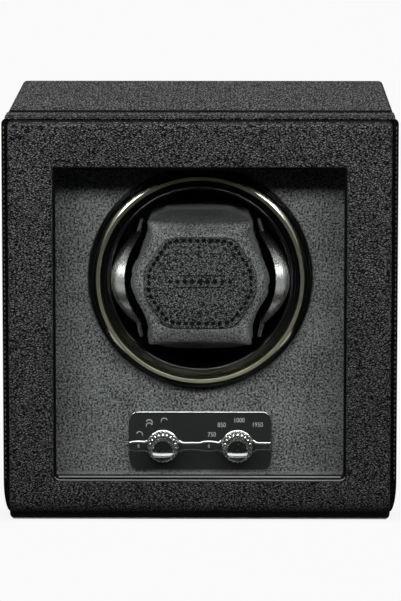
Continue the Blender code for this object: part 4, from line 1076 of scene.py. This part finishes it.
def peg_rings(side, tip, root, z):
    """A round peg along X with a softened tip."""
    profile = ((tip, PEG_RADIUS * 0.7), (tip + 0.4 * MM, PEG_RADIUS), (root, PEG_RADIUS))
    return [[(side * x, PEG_Y + size * c, z + size * s) for c, s in circle(20)] for x, size in profile]


def tab_rings(side, reach, front, middle_z, level):
    """The short flat tab at a bow's tip: it leans in towards the cushion and curls back at its end."""
    rings = []
    for step in range(8):
        t = step / 7
        x = reach + 1.0 * MM - 1.5 * MM * t + 0.3 * MM * t**3
        z = middle_z + level * (BOW_TIP - 0.3 * MM + t * 4.9 * MM)
        face = front + 0.1 * MM + 0.25 * MM * t
        half = 0.78 * MM * (1 - 0.12 * t**6)
        section = ((-1, 0.15), (-0.6, 0), (0.6, 0), (1, 0.15), (1, 0.8), (-1, 0.8))
        rings.append([(side * (x + half * share), face + deep * MM, z) for share, deep in section])
    return rings


# Controls


def band_half(x, knob_x):
    """Half the height of the inlaid band at x: a straight run that swells round each knob and mark."""
    half = BAND_HALF
    for centre in (-knob_x, knob_x):
        gap = BAND_RADIUS**2 - (x - centre) ** 2
        if gap > 0:
            half = max(half, math.sqrt(gap))
        else:
            flare = abs(x - centre) - BAND_RADIUS
            half = max(half, BAND_HALF + 1.0 * MM * math.exp(-((flare / (0.9 * MM)) ** 2)))
    for centre in (-24.2 * MM, 3.4 * MM):
        reach = (x - centre) / (3.4 * MM)
        if abs(reach) < 1:
            half = max(half, BAND_HALF + 0.55 * MM * math.sqrt(1 - reach**2))
    return half


def make_plate():
    """The gloss plate with its inlaid band, numbers and direction marks."""
    low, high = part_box("control_plate")
    edge = 0.40 * MM

    def shape(inset):
        return outline(high.x - inset, low.z + inset, high.z - inset, 3.5 * MM - inset)

    plate = lofted("control_plate_gloss", [(high.y, shape(edge)), (low.y, shape(edge))])
    knob = box_with_centre("knob_right")[2]
    bore = 3.7 * MM
    cutters = []
    for x in (-knob.x, knob.x):
        centre = Vector((x, 0, knob.z))
        cutters.append(plug(f"cut_neck_{len(cutters)}", centre, bore, low.y - MM, high.y + MM))
    cut(plate, *cutters)
    dress(plate, "gloss_black", "case", "gloss_black", "control_plate")

    rim = [(high.y, shape(0)), (low.y + 0.25 * MM, shape(0)), (low.y + 0.18 * MM, shape(0.05 * MM))]
    rim += [(low.y + 0.03 * MM, shape(0.33 * MM)), (low.y, shape(edge - 0.01 * MM))]
    rim += [(low.y, shape(edge)), (high.y, shape(edge))]
    trim = lofted("control_plate_edge", rim, wrap=True)
    dress(trim, "chrome", "case", "chrome")

    middle = knob.z - BAND_DROP
    reach = high.x - 0.4 * MM
    count = 240
    for sign, label, width in ((1, "upper", 0.42 * MM), (-1, "lower", 0.26 * MM)):
        rings = []
        for step in range(count + 1):
            x = reach * (2 * step / count - 1)
            z = middle + sign * band_half(x, knob.x)
            ahead = middle + sign * band_half(x + 0.05 * MM, knob.x)
            along = Vector((0.05 * MM, 0, ahead - z)).normalized()
            across = Vector((-along.z, 0, along.x)) * (width * sign)
            place = Vector((x, low.y, z))
            proud = Vector((0, -0.40 * width, 0))
            sunk = Vector((0, 0.1 * MM, 0))
            rings.append([
                place - across + sunk,
                place - across + proud * 0.8,
                place - across * 0.7 + proud,
                place + across * 0.1 + proud * 0.75,
                place + across * 0.7 + proud * 0.3,
                place + across + sunk,
            ])
        inlay = skinned(f"band_{label}_line", rings, angle=60)
        dress(inlay, "chrome", "case", "chrome")
    make_numbers(knob, low.y)
    make_direction_marks(Vector((-knob.x, knob.y, knob.z)), low.y)


def make_numbers(knob, front):
    """Turns a day round the right knob, and a zero in each of the band's swellings."""
    marks = [("0", -24.2 * MM, knob.z - BAND_DROP, 1.9), ("0", 3.4 * MM, knob.z - BAND_DROP, 1.9)]
    for text, across, up in (("750", -10.1, 4.5), ("850", -6.2, 8.3), ("1000", 0.6, 10.2), ("1950", 7.8, 8.4)):
        marks.append((text, knob.x + across * MM, knob.z + up * MM, 2.6))
    for number, (text, x, z, size) in enumerate(marks):
        curve = bpy.data.curves.new(f"number_{number}", "FONT")
        curve.body = text
        curve.size = size * MM
        curve.align_x = "CENTER"
        curve.align_y = "CENTER"
        curve.extrude = 0.03 * MM
        curve.resolution_u = 4
        helper = bpy.data.objects.new(f"number_helper_{number}", curve)
        scene.collection.objects.link(helper)
        bpy.context.view_layer.update()
        mesh = bpy.data.meshes.new_from_object(helper.evaluated_get(bpy.context.evaluated_depsgraph_get()))
        bpy.data.objects.remove(helper)
        narrow = Matrix.Diagonal((0.85, 1.0, 1.0, 1.0))
        mesh.transform(Matrix.Translation((x, front, z)) @ Matrix.Rotation(math.pi / 2, 4, "X") @ narrow)
        piece = bpy.data.objects.new(f"dial_number_{number + 1}", mesh)
        scene.collection.objects.link(piece)
        dress(piece, "printing", "case", "gloss_black")


def make_direction_marks(knob, front):
    """Three turning arrows round the left knob: clockwise, both ways and anticlockwise."""
    bm = bmesh.new()
    for across, up, ways in ((-9.2, 4.5, (1,)), (-5.4, 8.6, (1, -1)), (0.5, 9.9, (-1,))):
        centre = Vector((knob.x + across * MM, front, knob.z + up * MM))
        for number, way in enumerate(ways):
            arrow(bm, centre + Vector((0, 0, (0.5 - number) * 1.3 * MM if len(ways) > 1 else 0.0)), way)
    made = shaded("direction_marks", bm)
    dress(made, "printing", "case", "gloss_black")


def arrow(bm, centre, way):
    """A thin arc with an arrow head, as printed on the plate."""
    radius, width = 1.2 * MM, 0.17 * MM
    outer, inner = [], []
    for step in range(9):
        turn = math.radians(90 + way * (70 - 140 * step / 8))
        for edge, reach in ((outer, radius + width), (inner, radius - width)):
            edge.append((centre.x + reach * math.cos(turn), centre.z + reach * math.sin(turn)))
    add_flat(bm, outer + inner[::-1], centre.y)
    turn = math.radians(90 - way * 70)
    tip_x = centre.x + radius * math.cos(turn) + way * 0.5 * MM * math.sin(turn)
    tip_z = centre.z + radius * math.sin(turn) - way * 0.75 * MM * math.cos(turn) - 0.5 * MM
    add_flat(bm, [outer[-1], (tip_x, tip_z), inner[-1]], centre.y)


def add_flat(bm, shape, front):
    rise = 0.03 * MM
    add_rings(bm, [[(x, front + rise, z) for x, z in shape], [(x, front - rise, z) for x, z in shape]])


def make_knob(label, body):
    """A fluted chrome knob with rounded shoulders, and its domed face."""
    low, high, centre = box_with_centre(f"knob_{label}")
    radius = (high.x - low.x) / 2
    cap_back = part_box(f"knob_cap_{label}")[1].y
    depth = 0.75 * MM
    steps = 16 * FLUTES

    def lobed(size, y, share):
        ring = []
        for step in range(steps):
            turn = 2 * math.pi * step / steps
            wave = abs(math.cos(FLUTES * turn / 2)) ** 0.6
            reach = size - depth * share * (1 - wave)
            sunk = y + GROOVE * share * (1 - wave)
            ring.append((centre.x + reach * math.cos(turn), sunk, centre.z + reach * math.sin(turn)))
        return ring

    back, front = high.y, low.y
    bore, collar, crown, face = 2.7 * MM, 3.0 * MM, 1.3 * MM, KNOB_FACE
    waist = radius - crown
    rings = [lobed(bore, back - 7 * MM, 0), lobed(bore, back, 0), lobed(radius - 0.4 * MM, back, 0.5)]
    rings += [lobed(radius, back - 0.4 * MM, 1), lobed(radius, back - collar + 0.3 * MM, 1)]
    for inset, deep in ((0.12, 0.0), (0.4, 0.22), (0.8, 0.43), (1.25, 0.60)):
        rings.append(lobed(radius - inset * MM, back - (collar + deep * MM), 1))
    rings += [lobed(waist, back - collar - 0.9 * MM, 1)]
    slope = waist - face
    for inset, deep in ((0.0, 1.45), (0.04, 1.2), (0.14, 1.0), (0.4, 0.78), (0.7, 0.52), (0.93, 0.3), (1.0, 0.18)):
        rings.append(lobed(waist - slope * inset, front + deep * MM, 1 - 0.75 * inset))
    rings += [lobed(face, front + 0.5 * MM, 0.0), lobed(face, cap_back + GAP, 0.0)]
    knob = skinned(f"fluted_knob_{label}", rings, wrap=True, angle=50)
    dress(knob, "chrome", body, "chrome", f"knob_{label}")

    edge, rise = face - 0.12 * MM, 0.42 * MM
    curve = (edge**2 + rise**2) / (2 * rise)
    profile = [(0, cap_back), (edge - 0.2 * MM, cap_back)]
    profile += [(edge, cap_back - 0.2 * MM), (edge, front + 0.3 * MM)]
    for step in range(16, -1, -1):
        r = edge * step / 16
        profile.append((r, front + 0.22 * MM - (math.sqrt(curve**2 - r**2) - (curve - rise))))
    dome = turned(f"knob_face_{label}", profile, centre, 96, angle=40)
    dress(dome, "chrome", body, "chrome", f"knob_cap_{label}")


# Back and hidden pieces


def make_screw(number):
    """A back screw with a cross recess in its head."""
    name = f"back_screw_{number}"
    low, high, centre = box_with_centre(name)
    head, shank = (high.x - low.x) / 2, 1.4 * MM
    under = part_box("back_cover")[1].y + GAP
    profile = [(0, low.y), (shank, low.y + MM), (shank, under), (head, under)]
    profile += [(head, high.y - 0.6 * MM), (head - 0.35 * MM, high.y - 0.25 * MM)]
    profile += [(head - 1.1 * MM, high.y), (0, high.y)]
    screw = turned(f"cross_screw_{number}", profile, centre, 40)
    arms = []
    for turn in (0.3, 0.3 + math.pi / 2):
        bm = bmesh.new()
        place = Matrix.Translation((centre.x, high.y, centre.z)) @ Matrix.Rotation(turn + number, 4, "Y")
        size = Matrix.Diagonal((3.6 * MM, 1.3 * MM, 0.7 * MM, 1.0))
        bmesh.ops.create_cube(bm, size=1.0, matrix=place @ size)
        arms.append(shaded(f"cut_arm_{len(arms)}", bm))
    cut(screw, *arms)
    dress(screw, "steel", "case", "steel", name)


def dress_carried_over():
    """Materials for the CAD pieces that stay, from the record's slots, and softened hard edges."""
    slots = {row["node"]: row["material_slot"] for row in frame["record"]["subparts"]}
    for name, carried in frame["nodes"].items():
        carried.data.materials.clear()
        carried.data.materials.append(LOOKS[slots[name]])
    for name in ("back_cover", "case_top_board", "case_bottom_board", "case_left_board", "case_right_board"):
        soften(name, 0.25 * MM)
    for name in ("foot_1", "foot_2", "foot_3", "foot_4"):
        soften(name, 0.2 * MM, 3)
    drive = ("gearbox", "motor", "drum_pulley", "motor_pulley", "axle_bush", "chassis_plate")
    for name in ("dc_jack", *drive, "jack_nut"):
        soften(name, 0.15 * MM)


# Studio


def area_light(name, place, target, size, power):
    light = bpy.data.lights.new(name, "AREA")
    light.shape = "RECTANGLE"
    light.size, light.size_y = size
    light.energy = power
    lamp = bpy.data.objects.new(name, light)
    lamp.location = place
    lamp.rotation_euler = (Vector(target) - Vector(place)).to_track_quat("-Z", "Y").to_euler()
    lamp.visible_camera = False
    scene.collection.objects.link(lamp)
    return lamp


def make_world():
    """White for the camera. What lights the object is pale behind it, dim in front and dark below."""
    world = bpy.data.worlds.new("studio")
    scene.world = world
    world.use_nodes = True
    tree = world.node_tree
    tree.nodes.clear()
    direction = node(tree, "ShaderNodeTexCoord").outputs["Generated"]
    parts = node(tree, "ShaderNodeSeparateXYZ", {0: direction})
    behind = remap(tree, parts.outputs["Y"], 0.25, 0.7)
    above = remap(tree, parts.outputs["Z"], -0.40, -0.22)
    sideways = remap(tree, maths(tree, "ABSOLUTE", parts.outputs["X"]), 0.60, 0.72)
    upwards = remap(tree, parts.outputs["Z"], 0.50, 0.60)
    path = node(tree, "ShaderNodeLightPath")
    walls = product(tree, maths(tree, "MAXIMUM", sideways, upwards), path.outputs["Is Glossy Ray"])
    dim = tint(tree, walls, (0.012, 0.012, 0.012), (0.16, 0.155, 0.14))
    inputs = {"Factor": above, "A": (0.001, 0.001, 0.001, 1.0), "B": dim}
    front = node(tree, "ShaderNodeMix", inputs, data_type="RGBA").outputs["Result"]
    room = tint(tree, behind, (0.0, 0.0, 0.0), (0.30, 0.30, 0.30))
    inputs = {"Factor": 1.0, "A": room, "B": front}
    both = node(tree, "ShaderNodeMix", inputs, data_type="RGBA", blend_type="ADD").outputs["Result"]
    inputs = {"Factor": path.outputs["Is Camera Ray"], "A": both, "B": (0.956, 0.956, 0.956, 1.0)}
    colour = node(tree, "ShaderNodeMix", inputs, data_type="RGBA")
    background = node(tree, "ShaderNodeBackground", {"Color": colour.outputs["Result"]})
    output = node(tree, "ShaderNodeOutputWorld")
    tree.links.new(background.outputs[0], output.inputs["Surface"])


def start_glow(name):
    """A shadeless studio material: its tree and its emission shader."""
    material = bpy.data.materials.new(name)
    material.use_nodes = True
    tree = material.node_tree
    tree.nodes.clear()
    glow = node(tree, "ShaderNodeEmission")
    output = node(tree, "ShaderNodeOutputMaterial")
    tree.links.new(glow.outputs[0], output.inputs["Surface"])
    return material, tree, glow


def floor_material(low, high):
    """White, with the box's contact shadow: dark under its footprint and soft at the edge."""
    material, tree, glow = start_glow("pale_floor")
    place = node(tree, "ShaderNodeTexCoord").outputs["Object"]
    back_set = SHADOW_INSET.y / 2
    middle = (low + high) / 2 + Vector((0, back_set, 0))
    half = (high - low) / 2 - Vector((SHADOW_INSET.x, back_set, 0))
    away = vectors(tree, "ABSOLUTE", vectors(tree, "SUBTRACT", place, (middle.x, middle.y, 0.0)))
    outside = vectors(tree, "MAXIMUM", vectors(tree, "SUBTRACT", away, (half.x, half.y, 0.0)))
    distance = vectors(tree, "LENGTH", outside, output="Value")
    contact = remap(tree, distance, 0.0, 3.0 * MM, 0.04, 0.88)
    spread = remap(tree, distance, 0.0, 14 * MM, 0.0, 0.076)
    tree.links.new(maths(tree, "ADD", contact, spread), glow.inputs["Strength"])
    return material


def card_material(strength):
    """A white card that only shows in what stands behind the window."""
    material, tree, glow = start_glow("white_card")
    depth = node(tree, "ShaderNodeLightPath").outputs["Transparent Depth"]
    behind_glass = maths(tree, "GREATER_THAN", depth, 0.5)
    tree.links.new(product(tree, behind_glass, strength), glow.inputs["Strength"])
    return material


def stage_plane(name, corners, material, z=0.0):
    bm = bmesh.new()
    bm.faces.new([bm.verts.new((x, y, z)) for x, y in corners])
    plane = shaded(name, bm)
    plane.data.materials.append(material)
    return plane


def make_studio():
    """A pale floor, a large soft key light above the front, two side lights and white floor cards."""
    make_world()
    low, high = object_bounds()
    floor = stage_plane("floor", ((-8, -8), (8, -8), (8, 8), (-8, 8)), floor_material(low, high))
    floor.visible_diffuse = False
    floor.visible_glossy = False
    card = card_material(1.2)
    near, far, half = -0.118, -0.143, 0.2
    corners = ((-half, far), (half, far), (half, near), (-half, near))
    cards = [stage_plane("front_card", corners, card, 0.5 * MM)]
    for side, label in ((-1, "left"), (1, "right")):
        inner, outer = math.radians(24), math.radians(52)
        corners = []
        for turn, reach in ((inner, 0.40), (outer, 0.40), (outer, 1.6), (inner, 1.6)):
            corners.append((side * reach * math.sin(turn), low.y - reach * math.cos(turn)))
        cards.append(stage_plane(f"side_card_{label}", corners, card, 0.5 * MM))
    for piece in cards:
        piece.visible_camera = False
        piece.visible_diffuse = False
        piece.visible_shadow = False
    middle = (0, -0.05, 0.09)
    area_light("key", (0, -0.93, 0.585), middle, (1.5, 0.20), 10.5)
    area_light("overhead", (0, -0.45, 0.95), middle, (1.2, 0.6), 6.0)
    for side, label in ((-1, "left"), (1, "right")):
        softbox = area_light(f"softbox_{label}", (side * 0.60, -0.76, 0.225), middle, (0.22, 0.60), 0.28)
        softbox.visible_diffuse = False
    area_light("back_fill", (0, 1.2, 0.9), middle, (1.2, 0.8), 3.0)


def make_camera():
    camera = bpy.data.cameras.new("camera")
    camera.sensor_width = 36.0
    camera.lens = CAMERA_LENS
    camera.clip_start, camera.clip_end = 0.1, 50.0
    made = bpy.data.objects.new("camera", camera)
    made.location = CAMERA_PLACE
    made.rotation_euler = (math.radians(90 - CAMERA_PITCH), 0.0, math.radians(CAMERA_TURN))
    scene.collection.objects.link(made)
    scene.camera = made
    scene.view_settings.view_transform = "Standard"


dress_carried_over()
make_case_wrap()
make_hinge()
make_lid_board()
make_lid_frame()
make_recess()
make_fascia()
make_drum()
cushion = make_cushion()
make_patch(cushion)
for bow_side, bow_label in ((-1, "left"), (1, "right")):
    make_bow(bow_side, bow_label)
make_plate()
make_knob("left", "direction_knob")
make_knob("right", "turns_knob")
for screw_number in range(1, 5):
    make_screw(screw_number)
make_studio()
make_camera()
